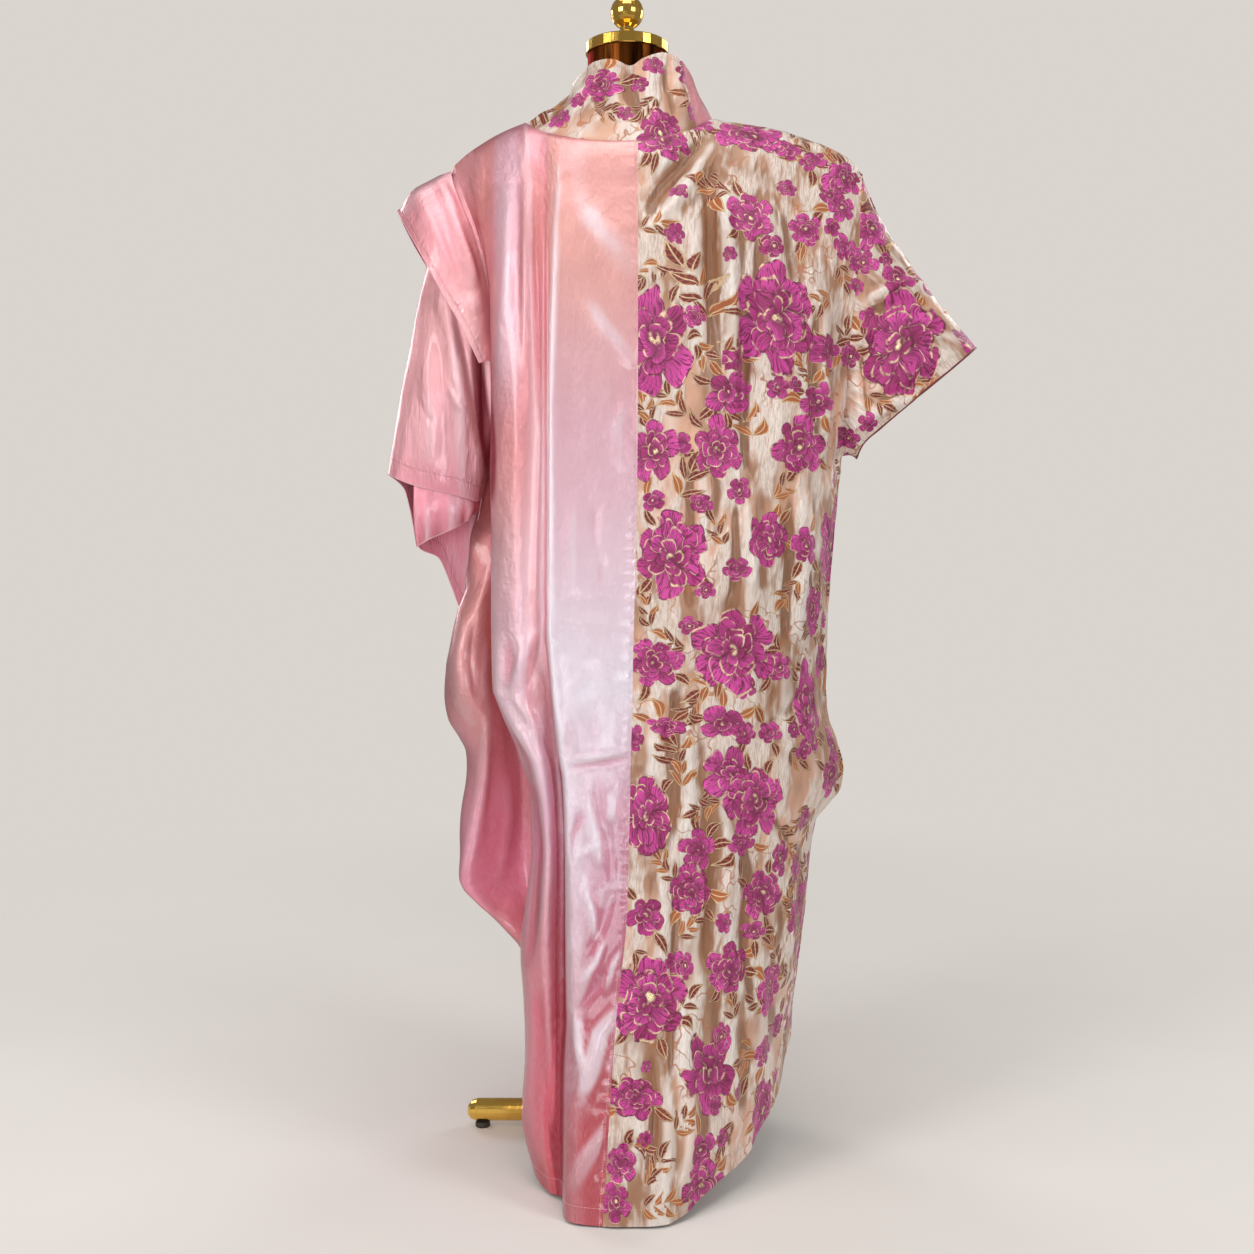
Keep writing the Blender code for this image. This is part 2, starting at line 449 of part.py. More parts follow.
class Cloth:
    """One welded surface whose faces carry the name of their panel."""

    def __init__(self):
        self.points = []
        self.lookup = {}
        self.faces = []
        self.labels = []

    def vertex(self, point):
        key = tuple(round(value * 50000) for value in point)
        if key not in self.lookup:
            self.lookup[key] = len(self.points)
            self.points.append(Vector(point))
        return self.lookup[key]

    def add_grid(self, label, grid, flip=False, closed=False):
        """Add a grid of rows as quads."""
        ids = [[self.vertex(point) for point in row] for row in grid]
        width = len(ids[0])
        last = width if closed else width - 1
        for low, high in zip(ids, ids[1:]):
            for index in range(last):
                after = (index + 1) % width
                face = [low[index], low[after], high[after], high[index]]
                face = [v for n, v in enumerate(face) if v != face[n - 1]]
                if flip:
                    face.reverse()
                if len(set(face)) > 2:
                    self.faces.append(tuple(face))
                    self.labels.append(label)

    def normals(self):
        """Outward normal at each welded point."""
        sums = [Vector((0, 0, 0)) for point in self.points]
        for face in self.faces:
            corners = [self.points[v] for v in face]
            area = Vector((0, 0, 0))
            for index in range(1, len(corners) - 1):
                area += (corners[index] - corners[0]).cross(corners[index + 1] - corners[0])
            for v in face:
                sums[v] += area.normalized()
        return [total.normalized() for total in sums]

    def solid(self, label, wall, gap):
        """Closed wall of one panel, drawn back from its seams by half the gap."""
        normals = self.normals()
        faces = [face for face, name in zip(self.faces, self.labels) if name == label]
        edges = {}
        for face in faces:
            for index, start in enumerate(face):
                edges[(start, face[(index + 1) % len(face)])] = face
        border = [edge for edge in edges if (edge[1], edge[0]) not in edges]
        inset = {}
        for start, end in border:
            along = (self.points[end] - self.points[start]).normalized()
            face = edges[(start, end)]
            corners = [self.points[v] for v in face]
            flat = (corners[1] - corners[0]).cross(corners[2] - corners[0]).normalized()
            inward = flat.cross(along)
            for v in (start, end):
                inset.setdefault(v, []).append((inward, abs(flat.dot(normals[v]))))
        used = sorted({v for face in faces for v in face})
        place = {v: index for index, v in enumerate(used)}
        outer = []
        inner = []
        for v in used:
            point = self.points[v].copy()
            if v in inset:
                push = Vector((0, 0, 0))
                for inward, square in inset[v]:
                    push += inward
                push.normalize()
                reach = min(push.dot(inward) * square for inward, square in inset[v])
                push *= 0.5 * gap / max(reach, 0.3)
                point += push
            outer.append(point)
            inner.append(point - normals[v] * wall)
        shape = [tuple(place[v] for v in face) for face in faces]
        count = len(used)
        back = [tuple(place[v] + count for v in reversed(face)) for face in faces]
        rim = [(place[end], place[start], place[start] + count, place[end] + count)
               for start, end in border]
        return outer + inner, shape + back + rim


def add_object(name, points, faces, kind, smooth=True):
    """Make one named object with its own material."""
    mesh = bpy.data.meshes.new(name)
    mesh.from_pydata([tuple(p) for p in points], [], faces)
    mesh.validate()
    built = bmesh.new()
    built.from_mesh(mesh)
    bmesh.ops.recalc_face_normals(built, faces=built.faces)
    bmesh.ops.triangulate(built, faces=built.faces)
    if built.calc_volume(signed=True) < 0:
        bmesh.ops.reverse_faces(built, faces=built.faces)
    built.to_mesh(mesh)
    built.free()
    if smooth:
        mesh.shade_smooth()
    made = bpy.data.objects.new(name, mesh)
    made.data.materials.append(material(kind))
    bpy.context.scene.collection.objects.link(made)
    return made


def turned(name, profile, kind, centre=(0.0, 0.0), steps=ROUND_STEPS):
    """Round solid about an upright axis from rows of radius and height."""
    points = []
    faces = []
    rings = []
    for radius, z in profile:
        ring = []
        for step in range(steps):
            turn = 2 * math.pi * step / steps
            ring.append(len(points))
            points.append((centre[0] + radius * math.cos(turn),
                           centre[1] + radius * math.sin(turn), z))
        rings.append(ring)
    for low, high in zip(rings, rings[1:]):
        for step in range(steps):
            after = (step + 1) % steps
            faces.append((low[step], low[after], high[after], high[step]))
    faces.append(tuple(reversed(rings[0])))
    faces.append(tuple(rings[-1]))
    return add_object(name, points, faces, kind)


def ball_profile(radius, z, steps, foot):
    """Rows of radius and height of a ball whose flat foot lies at a share of its radius."""
    rows = []
    first = -math.asin(foot)
    for step in range(steps):
        turn = first + (math.pi / 2 - first) * step / steps
        rows.append((radius * math.cos(turn), z + radius * math.sin(turn)))
    return rows + [(radius * 0.06, z + radius)]


def torso():
    """Smooth limbless torso with rounded shoulders."""
    points = []
    faces = []
    rings = []
    for z, half_width, half_depth, middle in TORSO:
        ring = []
        for step in range(ROUND_STEPS):
            turn = 2 * math.pi * step / ROUND_STEPS
            ring.append(len(points))
            points.append((half_width * math.cos(turn), middle + half_depth * math.sin(turn), z))
        rings.append(ring)
    for low, high in zip(rings, rings[1:]):
        for step in range(ROUND_STEPS):
            after = (step + 1) % ROUND_STEPS
            faces.append((low[step], low[after], high[after], high[step]))
    faces.append(tuple(reversed(rings[0])))
    faces.append(tuple(rings[-1]))
    return add_object("torso", points, faces, "form")


def leg(number, turn):
    """One nearly level leg tube with a rounded tip."""
    direction = Vector((math.cos(math.radians(turn)), math.sin(math.radians(turn)), 0.0))
    start_reach = HUB_RADIUS + SEAM_GAP
    rows = [(start_reach, 1.0), (LEG_REACH * 0.6, 1.0), (LEG_REACH - 0.014, 1.0),
            (LEG_REACH - 0.006, 0.86), (LEG_REACH - 0.0015, 0.55),
            (LEG_REACH, 0.2)]
    side = direction.cross(Vector((0, 0, 1)))
    points = []
    faces = []
    rings = []
    for reach, share in rows:
        drop = (reach - start_reach) / (LEG_REACH - start_reach)
        centre = direction * reach
        centre.z = LEG_HUB_Z + (LEG_TIP_Z - LEG_HUB_Z) * drop
        ring = []
        for step in range(LEG_STEPS):
            around = 2 * math.pi * step / LEG_STEPS
            offset = side * math.cos(around) + Vector((0, 0, 1)) * math.sin(around)
            ring.append(len(points))
            points.append(centre + offset * LEG_RADIUS * share)
        rings.append(ring)
    for low, high in zip(rings, rings[1:]):
        for step in range(LEG_STEPS):
            after = (step + 1) % LEG_STEPS
            faces.append((low[step], low[after], high[after], high[step]))
    faces.append(tuple(reversed(rings[0])))
    faces.append(tuple(rings[-1]))
    add_object("leg_%d" % number, points, faces, "gold")
    foot_reach = LEG_REACH - FOOT_INSET
    foot_drop = (foot_reach - start_reach) / (LEG_REACH - start_reach)
    under = LEG_HUB_Z + (LEG_TIP_Z - LEG_HUB_Z) * foot_drop - LEG_RADIUS
    centre = (direction.x * foot_reach, direction.y * foot_reach)
    top = under - FOOT_CLEARANCE
    rim = FOOT_RADIUS - 0.001
    turned("foot_%d" % number, [(rim, 0.0), (FOOT_RADIUS, top * 0.3), (FOOT_RADIUS, top * 0.8),
                                (rim, top)], "foot", centre, LEG_STEPS)


cloth = Cloth()
grids = {name: panel_grid(name) for name in PANELS}
for name, grid in grids.items():
    turned_over = name in ("back_satin", "front_satin")
    if name == "front_satin":
        split = columns(name).index(SIDE_SPLIT)
        cloth.add_grid("side_satin", [row[:split + 1] for row in grid], flip=turned_over)
        cloth.add_grid(name, [row[split:] for row in grid], flip=turned_over)
    else:
        cloth.add_grid(name, grid, flip=turned_over)

rings = {}
for side in ("left", "right"):
    back_name, front_name = ("back_satin", "front_satin")
    if side == "right":
        back_name, front_name = ("back_brocade", "front_brocade")
    first = len(LEVELS) - 1
    back_edge = [row[-1] for row in grids[back_name][first:]]
    front_edge = [row[0] for row in grids[front_name][first:]]
    rings[side] = list(reversed(back_edge)) + front_edge[1:-1]
sleeves = {"left_sleeve": sleeve_grid(rings["left"], SLEEVE_LEFT, SLEEVE_ROWS["left_sleeve"]),
           "right_sleeve": sleeve_grid(rings["right"], SLEEVE_RIGHT, SLEEVE_ROWS["right_sleeve"])}
cloth.add_grid("left_sleeve", sleeves["left_sleeve"], flip=True, closed=True)
cloth.add_grid("right_sleeve", sleeves["right_sleeve"], closed=True)

# The neck ring runs from the right side neck point by the back to the left and round the front
neck_ring = []
brocade_neck = columns("back_brocade").index(1.0)
satin_neck = columns("back_satin").index(3.0)
front_satin_neck = columns("front_satin").index(4.0)
front_brocade_neck = columns("front_brocade").index(3.0)
neck_ring += list(reversed(grids["back_brocade"][-1][:brocade_neck + 1]))
neck_ring += grids["back_satin"][-1][1:satin_neck + 1]
neck_ring += grids["front_satin"][-1][front_satin_neck + 1:]
neck_ring += list(reversed(grids["front_brocade"][-1][front_brocade_neck + 1:-1]))
collar_grid = []
lengths = [0.0]
for start, end in zip(neck_ring, neck_ring[1:] + neck_ring[:1]):
    lengths.append(lengths[-1] + (end - start).length)
for row in range(COLLAR_ROWS + 1):
    s = row / COLLAR_ROWS
    line = []
    for index, start in enumerate(neck_ring):
        top = curve(COLLAR_TOP, lengths[index] / lengths[-1], closed=True)
        level = start.z + (top.z - start.z) * s
        straight = min(max(start.x / SIDE_NECK_RIGHT[0], 0.0), 1.0)
        ease = math.sin(s * math.pi / 2) * (1 - straight) + s * straight
        line.append(Vector((start.x + (top.x - start.x) * ease,
                            start.y + (top.y - start.y) * ease, level)))
    collar_grid.append(line)
count = len(neck_ring)
facing = [(count - FACING_COLUMNS + 1 + step) % count for step in range(FACING_COLUMNS + 1)]
rest = [(facing[-1] + step) % count for step in range(count - FACING_COLUMNS + 1)]
cloth.add_grid("collar_facing", [[row[index] for index in facing] for row in collar_grid], flip=True)
cloth.add_grid("collar", [[row[index] for index in rest] for row in collar_grid], flip=True)

WALLS = {"back_satin": (SATIN_WALL, "satin"), "front_satin": (SATIN_WALL, "satin"),
         "side_satin": (SATIN_WALL, "satin"),
         "back_brocade": (BROCADE_WALL, "brocade"), "front_brocade": (BROCADE_WALL, "brocade"),
         "left_sleeve": (SLEEVE_WALL, "satin"), "right_sleeve": (BROCADE_WALL, "brocade"),
         "collar": (BROCADE_WALL, "brocade"), "collar_facing": (SATIN_WALL, "satin")}
for name, (wall, kind) in WALLS.items():
    gap = CURVED_SEAM_GAP if name.startswith("collar") else CLOTH_SEAM_GAP
    points, faces = cloth.solid(name, wall, gap)
    add_object(name, points, faces, kind)

# The cap springs from just beyond the armhole seam and stands clear of the sleeve
cap_rows = []
base = []
upper = sleeves["left_sleeve"][0]
lower = sleeves["left_sleeve"][1]
for column in range(CAP_COLUMNS + 1):
    share = 1 - 2 * column / CAP_COLUMNS
    around = (share * CAP_SPAN * 0.5) % 1.0
    first = curve(upper, around, closed=True)
    second = curve(lower, around, closed=True)
    third = curve(lower, (around + CAP_SLICE) % 1.0, closed=True)
    before = curve(lower, (around - CAP_SLICE) % 1.0, closed=True)
    out = (third - before).cross(second - first).normalized()
    if out.dot(second - Vector((-0.20, 0.0, 1.15))) < 0:
        out.negate()
    base.append((first.lerp(second, CAP_START) + out * CAP_CLEARANCE, out))
for row in range(CAP_ROWS + 1):
    s = row / CAP_ROWS
    line = []
    for column, (start, out) in enumerate(base):
        edge = curve(CAP_EDGE, column / CAP_COLUMNS)
        crown = 1 - abs(2 * column / CAP_COLUMNS - 1)
        lift = out * (CAP_LIFT + CAP_CROWN_LIFT * crown) * math.sin(math.pi * s)
        line.append(start.lerp(edge, s) + lift)
    cap_rows.append(line)
cap = Cloth()
cap.add_grid("left_cap", cap_rows)
points, faces = cap.solid("left_cap", SATIN_WALL, 0.0)
add_object("left_cap", points, faces, "satin")

# Dress form, from the base up
turned("hub", [(HUB_RADIUS * 0.7, 0.016), (HUB_RADIUS, 0.020), (HUB_RADIUS, 0.056),
               (HUB_RADIUS * 0.8, 0.066), (POLE_RADIUS + 0.004, 0.072)], "gold")
for number, turn in enumerate(LEG_TURNS, 1):
    leg(number, turn)
turned("pole", [(POLE_RADIUS, 0.072 + SEAM_GAP), (POLE_RADIUS, 0.300), (POLE_RADIUS, 0.550),
                (POLE_RADIUS, TORSO[0][0] - SEAM_GAP)], "gold", steps=20)
torso()
turned("neck", [(0.047, TORSO[-1][0] + SEAM_GAP), (0.050, TORSO[-1][0] + 0.006), (0.053, 1.490),
                (NECK_RADIUS, 1.530), (NECK_RADIUS, CAP_LOW_Z - SEAM_GAP)], "form")
turned("neck_cap", [(CAP_RADIUS - 0.001, CAP_LOW_Z), (CAP_RADIUS, CAP_LOW_Z + 0.001),
                    (CAP_RADIUS, CAP_TOP_Z - 0.002), (CAP_RADIUS - 0.002, CAP_TOP_Z),
                    (0.030, CAP_TOP_Z + 0.002), (0.019, CAP_TOP_Z + 0.003)], "gold")
turned("finial_stem", [(0.0170, CAP_TOP_Z + 0.003 + SEAM_GAP), (0.0180, CAP_TOP_Z + 0.008),
                       (0.0170, CAP_TOP_Z + 0.014), (0.0110, CAP_TOP_Z + 0.018),
                       (0.0105, BALL_Z - BALL_RADIUS * BALL_FOOT - SEAM_GAP)], "gold", steps=24)
turned("finial_ball", ball_profile(BALL_RADIUS, BALL_Z, 12, BALL_FOOT), "gold", steps=24)

# Stand the part with the centre of its box over the origin
low = Vector((9.0, 9.0, 9.0))
high = Vector((-9.0, -9.0, -9.0))
for item in bpy.context.scene.objects:
    for vertex in item.data.vertices:
        for axis in range(3):
            low[axis] = min(low[axis], vertex.co[axis])
            high[axis] = max(high[axis], vertex.co[axis])
shift = Vector((-(low.x + high.x) / 2, -(low.y + high.y) / 2, -low.z))
for item in bpy.context.scene.objects:
    item.data.transform(Matrix.Translation(shift))
print("shift", tuple(round(value, 5) for value in shift))
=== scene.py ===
import json
import math
import random

import bpy
import numpy as np
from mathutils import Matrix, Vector, noise


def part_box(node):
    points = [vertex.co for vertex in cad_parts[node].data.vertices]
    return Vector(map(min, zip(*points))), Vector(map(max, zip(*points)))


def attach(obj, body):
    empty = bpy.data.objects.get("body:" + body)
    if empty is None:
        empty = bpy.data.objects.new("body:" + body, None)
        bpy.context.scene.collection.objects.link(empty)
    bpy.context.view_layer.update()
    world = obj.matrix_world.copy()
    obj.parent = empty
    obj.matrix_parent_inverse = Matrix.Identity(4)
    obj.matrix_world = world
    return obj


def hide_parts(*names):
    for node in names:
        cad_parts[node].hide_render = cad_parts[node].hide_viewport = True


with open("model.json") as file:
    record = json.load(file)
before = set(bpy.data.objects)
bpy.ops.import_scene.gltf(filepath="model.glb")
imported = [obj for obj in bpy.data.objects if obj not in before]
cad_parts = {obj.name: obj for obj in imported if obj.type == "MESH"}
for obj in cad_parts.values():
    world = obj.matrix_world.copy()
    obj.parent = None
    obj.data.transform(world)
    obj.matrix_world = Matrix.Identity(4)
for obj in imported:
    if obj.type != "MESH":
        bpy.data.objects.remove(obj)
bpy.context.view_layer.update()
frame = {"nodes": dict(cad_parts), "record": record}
poleLow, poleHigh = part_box("pole")
poleAt = Vector(((poleLow.x + poleHigh.x) / 2, (poleLow.y + poleHigh.y) / 2, 0.0))
print("frame loaded, pole at", tuple(round(v, 4) for v in poleAt))

# Every table below is in metres about the pole, back of the dress towards -Y
cloth = {
    "underarm": 0.985,          # height where the sleeves start
    "hemBlend": 0.35,           # the hem's own line dies out at this height
    "satinWall": 0.0010,
    "brocadeWall": 0.0013,
    "sleeveWall": 0.0009,
    "lowRows": 246,
    "highRows": 118,
    "cell": 0.0042,   # width that a column of faces aims at
    "edgeShare": 5.0,           # weights over which an armhole's edge draws the cloth beside it
    "sharpEdge": 62,            # degrees from which an edge stays sharp
}
# The photo's camera, metres for its place and pixels for its picture
photo = {"distance": 2.196, "height": 0.8127, "focal": 1514.0, "size": 1254, "horizon": 575.0,
         "middle": 627.0}

sideNeckLeft = (-0.1465, -0.004, 1.4655)
sideNeckRight = (0.1247, -0.004, 1.4700)
shoulderLeft = (-0.2495, 0.0, 1.4074)
shoulderRight = (0.3410, 0.0, 1.3930)
underarm = cloth["underarm"]

# Plan of each fold line: rows of height, x and y
foldLines = {
    "back_seam": [
        (0.000, -0.030, -0.312), (0.090, -0.025, -0.290), (0.160, -0.020, -0.272),
        (0.230, -0.015, -0.255), (0.300, -0.007, -0.240), (0.370, 0.000, -0.226),
        (0.440, 0.002, -0.213), (0.510, 0.004, -0.201), (0.570, 0.005, -0.192),
        (0.630, 0.007, -0.183), (0.690, 0.008, -0.175), (0.770, 0.010, -0.165),
        (0.860, 0.012, -0.155), (0.950, 0.014, -0.147), (1.100, 0.015, -0.140),
        (1.250, 0.015, -0.133), (1.360, 0.015, -0.114)],
    "flat_edge": [
        (0.000, -0.076, -0.298), (0.090, -0.075, -0.276), (0.160, -0.074, -0.260),
        (0.230, -0.072, -0.245), (0.300, -0.073, -0.231), (0.370, -0.074, -0.219),
        (0.440, -0.076, -0.208), (0.510, -0.079, -0.197), (0.570, -0.083, -0.188),
        (0.630, -0.089, -0.180), (0.690, -0.095, -0.172), (0.770, -0.103, -0.162),
        (0.860, -0.104, -0.153), (0.950, -0.104, -0.145), (1.100, -0.103, -0.139),
        (1.250, -0.101, -0.132), (1.360, -0.098, -0.114)],
    "valley": [
        (0.000, -0.085, -0.235), (0.090, -0.087, -0.215), (0.160, -0.087, -0.200),
        (0.230, -0.085, -0.188), (0.300, -0.085, -0.178), (0.370, -0.085, -0.170),
        (0.440, -0.085, -0.163), (0.510, -0.088, -0.159), (0.570, -0.094, -0.156),
        (0.630, -0.100, -0.155), (0.690, -0.106, -0.153), (0.770, -0.114, -0.146),
        (0.860, -0.116, -0.139), (0.950, -0.116, -0.133), (1.100, -0.116, -0.128),
        (1.250, -0.114, -0.122), (1.360, -0.112, -0.104)],
    "ridge": [
        (0.000, -0.103, -0.212), (0.090, -0.113, -0.203), (0.160, -0.111, -0.195),
        (0.230, -0.112, -0.187), (0.300, -0.116, -0.179), (0.370, -0.110, -0.173),
        (0.440, -0.107, -0.168), (0.510, -0.112, -0.165), (0.570, -0.122, -0.164),
        (0.630, -0.139, -0.162), (0.690, -0.144, -0.160), (0.770, -0.152, -0.154),
        (0.860, -0.153, -0.147), (0.950, -0.152, -0.141), (1.100, -0.148, -0.136),
        (1.250, -0.143, -0.129), (1.360, -0.140, -0.110)],
    "roll": [
        (0.000, -0.122, -0.165), (0.090, -0.141, -0.152), (0.160, -0.138, -0.142),
        (0.230, -0.141, -0.134), (0.300, -0.146, -0.129), (0.370, -0.138, -0.126),
        (0.440, -0.130, -0.124), (0.510, -0.132, -0.121), (0.570, -0.150, -0.119),
        (0.630, -0.173, -0.117), (0.690, -0.184, -0.115), (0.770, -0.188, -0.110),
        (0.860, -0.188, -0.105), (0.950, -0.190, -0.101), (1.100, -0.188, -0.096),
        (1.200, -0.190, -0.092), (1.280, -0.197, -0.084), (1.360, -0.206, -0.070)],
    "left_side": [
        (0.000, -0.108, -0.085), (0.160, -0.112, -0.072), (0.270, -0.115, -0.055),
        (0.340, -0.105, -0.035), (0.440, -0.103, -0.030), (0.530, -0.114, -0.030),
        (0.600, -0.138, -0.035), (0.690, -0.150, -0.037), (0.760, -0.155, -0.034),
        (0.860, -0.160, -0.028), (0.930, -0.165, -0.018), (underarm, -0.170, 0.000)],
    "inner_turn": [
        (0.000, -0.112, -0.060), (0.160, -0.118, -0.050), (0.270, -0.126, -0.038),
        (0.340, -0.140, -0.008), (0.440, -0.150, 0.002), (0.530, -0.154, 0.000),
        (0.600, -0.168, -0.016), (0.690, -0.180, -0.022), (0.760, -0.180, -0.020),
        (0.860, -0.172, -0.010), (0.930, -0.172, 0.002), (underarm, -0.173, 0.014),
        (1.010, -0.168, 0.036), (1.050, -0.169, 0.050), (1.100, -0.173, 0.059),
        (1.200, -0.187, 0.067), (1.360, -0.222, 0.046)],
    "drape_crease": [
        (0.000, -0.115, -0.030), (0.160, -0.124, -0.026), (0.270, -0.142, -0.024),
        (0.310, -0.176, -0.028), (0.340, -0.206, -0.032), (0.376, -0.230, -0.034),
        (0.439, -0.213, -0.038), (0.537, -0.199, -0.044), (0.600, -0.206, -0.052),
        (0.650, -0.222, -0.056), (0.700, -0.226, -0.052), (0.760, -0.216, -0.040),
        (0.820, -0.198, -0.026), (0.880, -0.183, -0.006), (0.930, -0.179, 0.012),
        (underarm, -0.177, 0.030), (1.010, -0.168, 0.050), (1.050, -0.165, 0.063),
        (1.100, -0.168, 0.072), (1.200, -0.179, 0.079), (1.360, -0.207, 0.057)],
    "drape_edge": [
        (0.000, -0.116, 0.000), (0.160, -0.126, 0.004), (0.250, -0.140, 0.006),
        (0.273, -0.155, 0.004), (0.337, -0.212, 0.000), (0.366, -0.237, 0.000),
        (0.385, -0.242, 0.000), (0.428, -0.242, 0.000), (0.530, -0.2335, 0.000),
        (0.557, -0.235, 0.000), (0.578, -0.244, 0.000), (0.607, -0.260, 0.000),
        (0.640, -0.265, 0.000), (0.679, -0.2625, 0.000), (0.724, -0.253, 0.000),
        (0.760, -0.245, 0.000), (0.800, -0.232, 0.000), (0.840, -0.229, 0.000),
        (0.870, -0.227, 0.002), (0.895, -0.222, 0.008), (0.930, -0.215, 0.018),
        (0.960, -0.207, 0.030), (underarm, -0.184, 0.046),
        (1.010, -0.170, 0.062), (1.050, -0.163, 0.074), (1.100, -0.162, 0.084),
        (1.200, -0.168, 0.089), (1.360, -0.190, 0.065)],
    "front_left": [
        (0.000, -0.100, 0.105), (0.160, -0.108, 0.108), (0.300, -0.130, 0.105),
        (0.366, -0.185, 0.085), (0.430, -0.200, 0.080), (0.640, -0.205, 0.078),
        (0.800, -0.190, 0.085), (underarm, -0.160, 0.100), (1.100, -0.150, 0.108),
        (1.360, -0.148, 0.075)],
    "front_mid_left": [
        (0.000, -0.050, 0.165), (0.300, -0.070, 0.160), (0.640, -0.090, 0.148),
        (0.900, -0.085, 0.142), (1.150, -0.075, 0.145), (1.360, -0.070, 0.112)],
    "front_seam": [
        (0.000, 0.012, 0.182), (0.300, 0.013, 0.176), (0.640, 0.014, 0.164),
        (0.900, 0.015, 0.152), (1.150, 0.015, 0.156), (1.360, 0.015, 0.122)],
    "right_quarter": [
        (0.000, 0.050, -0.312), (0.170, 0.060, -0.266), (0.300, 0.075, -0.234),
        (0.450, 0.085, -0.206), (0.570, 0.090, -0.187), (0.690, 0.095, -0.171),
        (0.830, 0.100, -0.155), (1.000, 0.102, -0.139), (1.200, 0.108, -0.130),
        (1.360, 0.118, -0.106)],
    "right_half": [
        (0.000, 0.132, -0.218), (0.170, 0.146, -0.198), (0.300, 0.160, -0.180),
        (0.450, 0.172, -0.163), (0.570, 0.180, -0.150), (0.690, 0.186, -0.140),
        (0.830, 0.192, -0.129), (1.000, 0.200, -0.115), (1.200, 0.205, -0.106),
        (1.360, 0.208, -0.086)],
    "right_turn": [
        (0.000, 0.200, -0.098), (0.170, 0.210, -0.098), (0.300, 0.224, -0.094),
        (0.430, 0.236, -0.088), (0.480, 0.245, -0.088), (0.530, 0.256, -0.090),
        (0.611, 0.250, -0.084), (0.690, 0.253, -0.079), (0.830, 0.263, -0.073),
        (1.000, 0.276, -0.065), (1.200, 0.282, -0.066), (1.360, 0.283, -0.054)],
    "right_side": [
        (0.000, 0.236, 0.000), (0.170, 0.238, 0.000), (0.230, 0.246, 0.000),
        (0.300, 0.254, 0.000), (0.370, 0.261, 0.000), (0.433, 0.2675, 0.000),
        (0.460, 0.274, 0.000), (0.480, 0.294, 0.000), (0.507, 0.3115, 0.000),
        (0.531, 0.3145, 0.000), (0.573, 0.3045, 0.000), (0.611, 0.2920, 0.000),
        (0.660, 0.288, 0.000), (0.770, 0.293, 0.000), (0.860, 0.300, 0.000),
        (0.950, 0.309, 0.000), (underarm, 0.312, 0.000)],
    "front_turn_right": [
        (0.000, 0.198, 0.085), (0.300, 0.220, 0.082), (0.430, 0.232, 0.080),
        (0.531, 0.246, 0.080), (0.690, 0.246, 0.078), (1.000, 0.272, 0.072),
        (1.360, 0.282, 0.048)],
    "front_half_right": [
        (0.000, 0.135, 0.142), (0.300, 0.155, 0.136), (0.690, 0.180, 0.124),
        (1.000, 0.195, 0.116), (1.360, 0.208, 0.080)],
    "front_quarter_right": [
        (0.000, 0.075, 0.172), (0.300, 0.085, 0.166), (0.690, 0.098, 0.152),
        (1.000, 0.102, 0.144), (1.360, 0.118, 0.110)],
    "armhole_left_back": [
        (underarm, -0.170, 0.000), (1.000, -0.171, -0.018), (1.027, -0.171, -0.029),
        (1.050, -0.171, -0.036), (1.100, -0.174, -0.044), (1.200, -0.188, -0.055), (1.260, -0.201, -0.052),
        (1.310, -0.216, -0.044), (1.360, -0.236, -0.028), (1.390, -0.246, -0.013),
        (1.4074, -0.2495, 0.000)],
    "armhole_left_front": [
        (underarm, -0.170, 0.000), (1.000, -0.174, 0.018), (1.027, -0.176, 0.029),
        (1.050, -0.179, 0.036), (1.100, -0.185, 0.044), (1.200, -0.200, 0.052), (1.260, -0.208, 0.050),
        (1.310, -0.219, 0.042), (1.360, -0.236, 0.028), (1.390, -0.246, 0.013),
        (1.4074, -0.2495, 0.000)],
    "armhole_right_back": [
        (underarm, 0.312, 0.000), (1.000, 0.312, -0.016), (1.027, 0.312, -0.025),
        (1.050, 0.313, -0.030), (1.100, 0.315, -0.036), (1.200, 0.323, -0.040), (1.260, 0.330, -0.040),
        (1.310, 0.333, -0.034), (1.350, 0.336, -0.024), (1.380, 0.340, -0.010),
        (1.3930, 0.341, 0.000)],
}
foldLines["armhole_right_front"] = [(height, x, abs(y)) for height, x, y in foldLines["armhole_right_back"]]

# Height of the hem under each fold line
hemHeights = {
    "back_seam": 0.002, "flat_edge": 0.003, "valley": 0.006, "ridge": 0.004, "roll": 0.012,
    "left_side": 0.075, "inner_turn": 0.080, "drape_crease": 0.085, "drape_edge": 0.085,
    "front_left": 0.070, "front_mid_left": 0.070, "front_seam": 0.075,
    "right_quarter": 0.004, "right_half": 0.030, "right_turn": 0.076, "right_side": 0.160,
    "front_turn_right": 0.130, "front_half_right": 0.095, "front_quarter_right": 0.080,
}

# Each panel: its fold lines from seam to seam, with the weight and the width in metres after each
panelPlans = {
    "back_satin": [("back_seam", 6, 0.062), ("flat_edge", 2, 0.060), ("valley", 2, 0.030),
                   ("ridge", 4, 0.050), ("roll", 4, 0.095), ("left_side", 0, 0)],
    "front_satin": [("left_side", 1, 0.040), ("inner_turn", 2, 0.070), ("drape_crease", 2, 0.040),
                    ("drape_edge", 3, 0.110), ("front_left", 3, 0.120), ("front_mid_left", 3, 0.100),
                    ("front_seam", 0, 0)],
    "back_brocade": [("back_seam", 4, 0.095), ("right_quarter", 3, 0.115), ("right_half", 3, 0.125),
                     ("right_turn", 3, 0.120), ("right_side", 0, 0)],
    "front_brocade": [("right_side", 3, 0.100), ("front_turn_right", 3, 0.090),
                      ("front_half_right", 3, 0.090), ("front_quarter_right", 4, 0.090),
                      ("front_seam", 0, 0)],
}
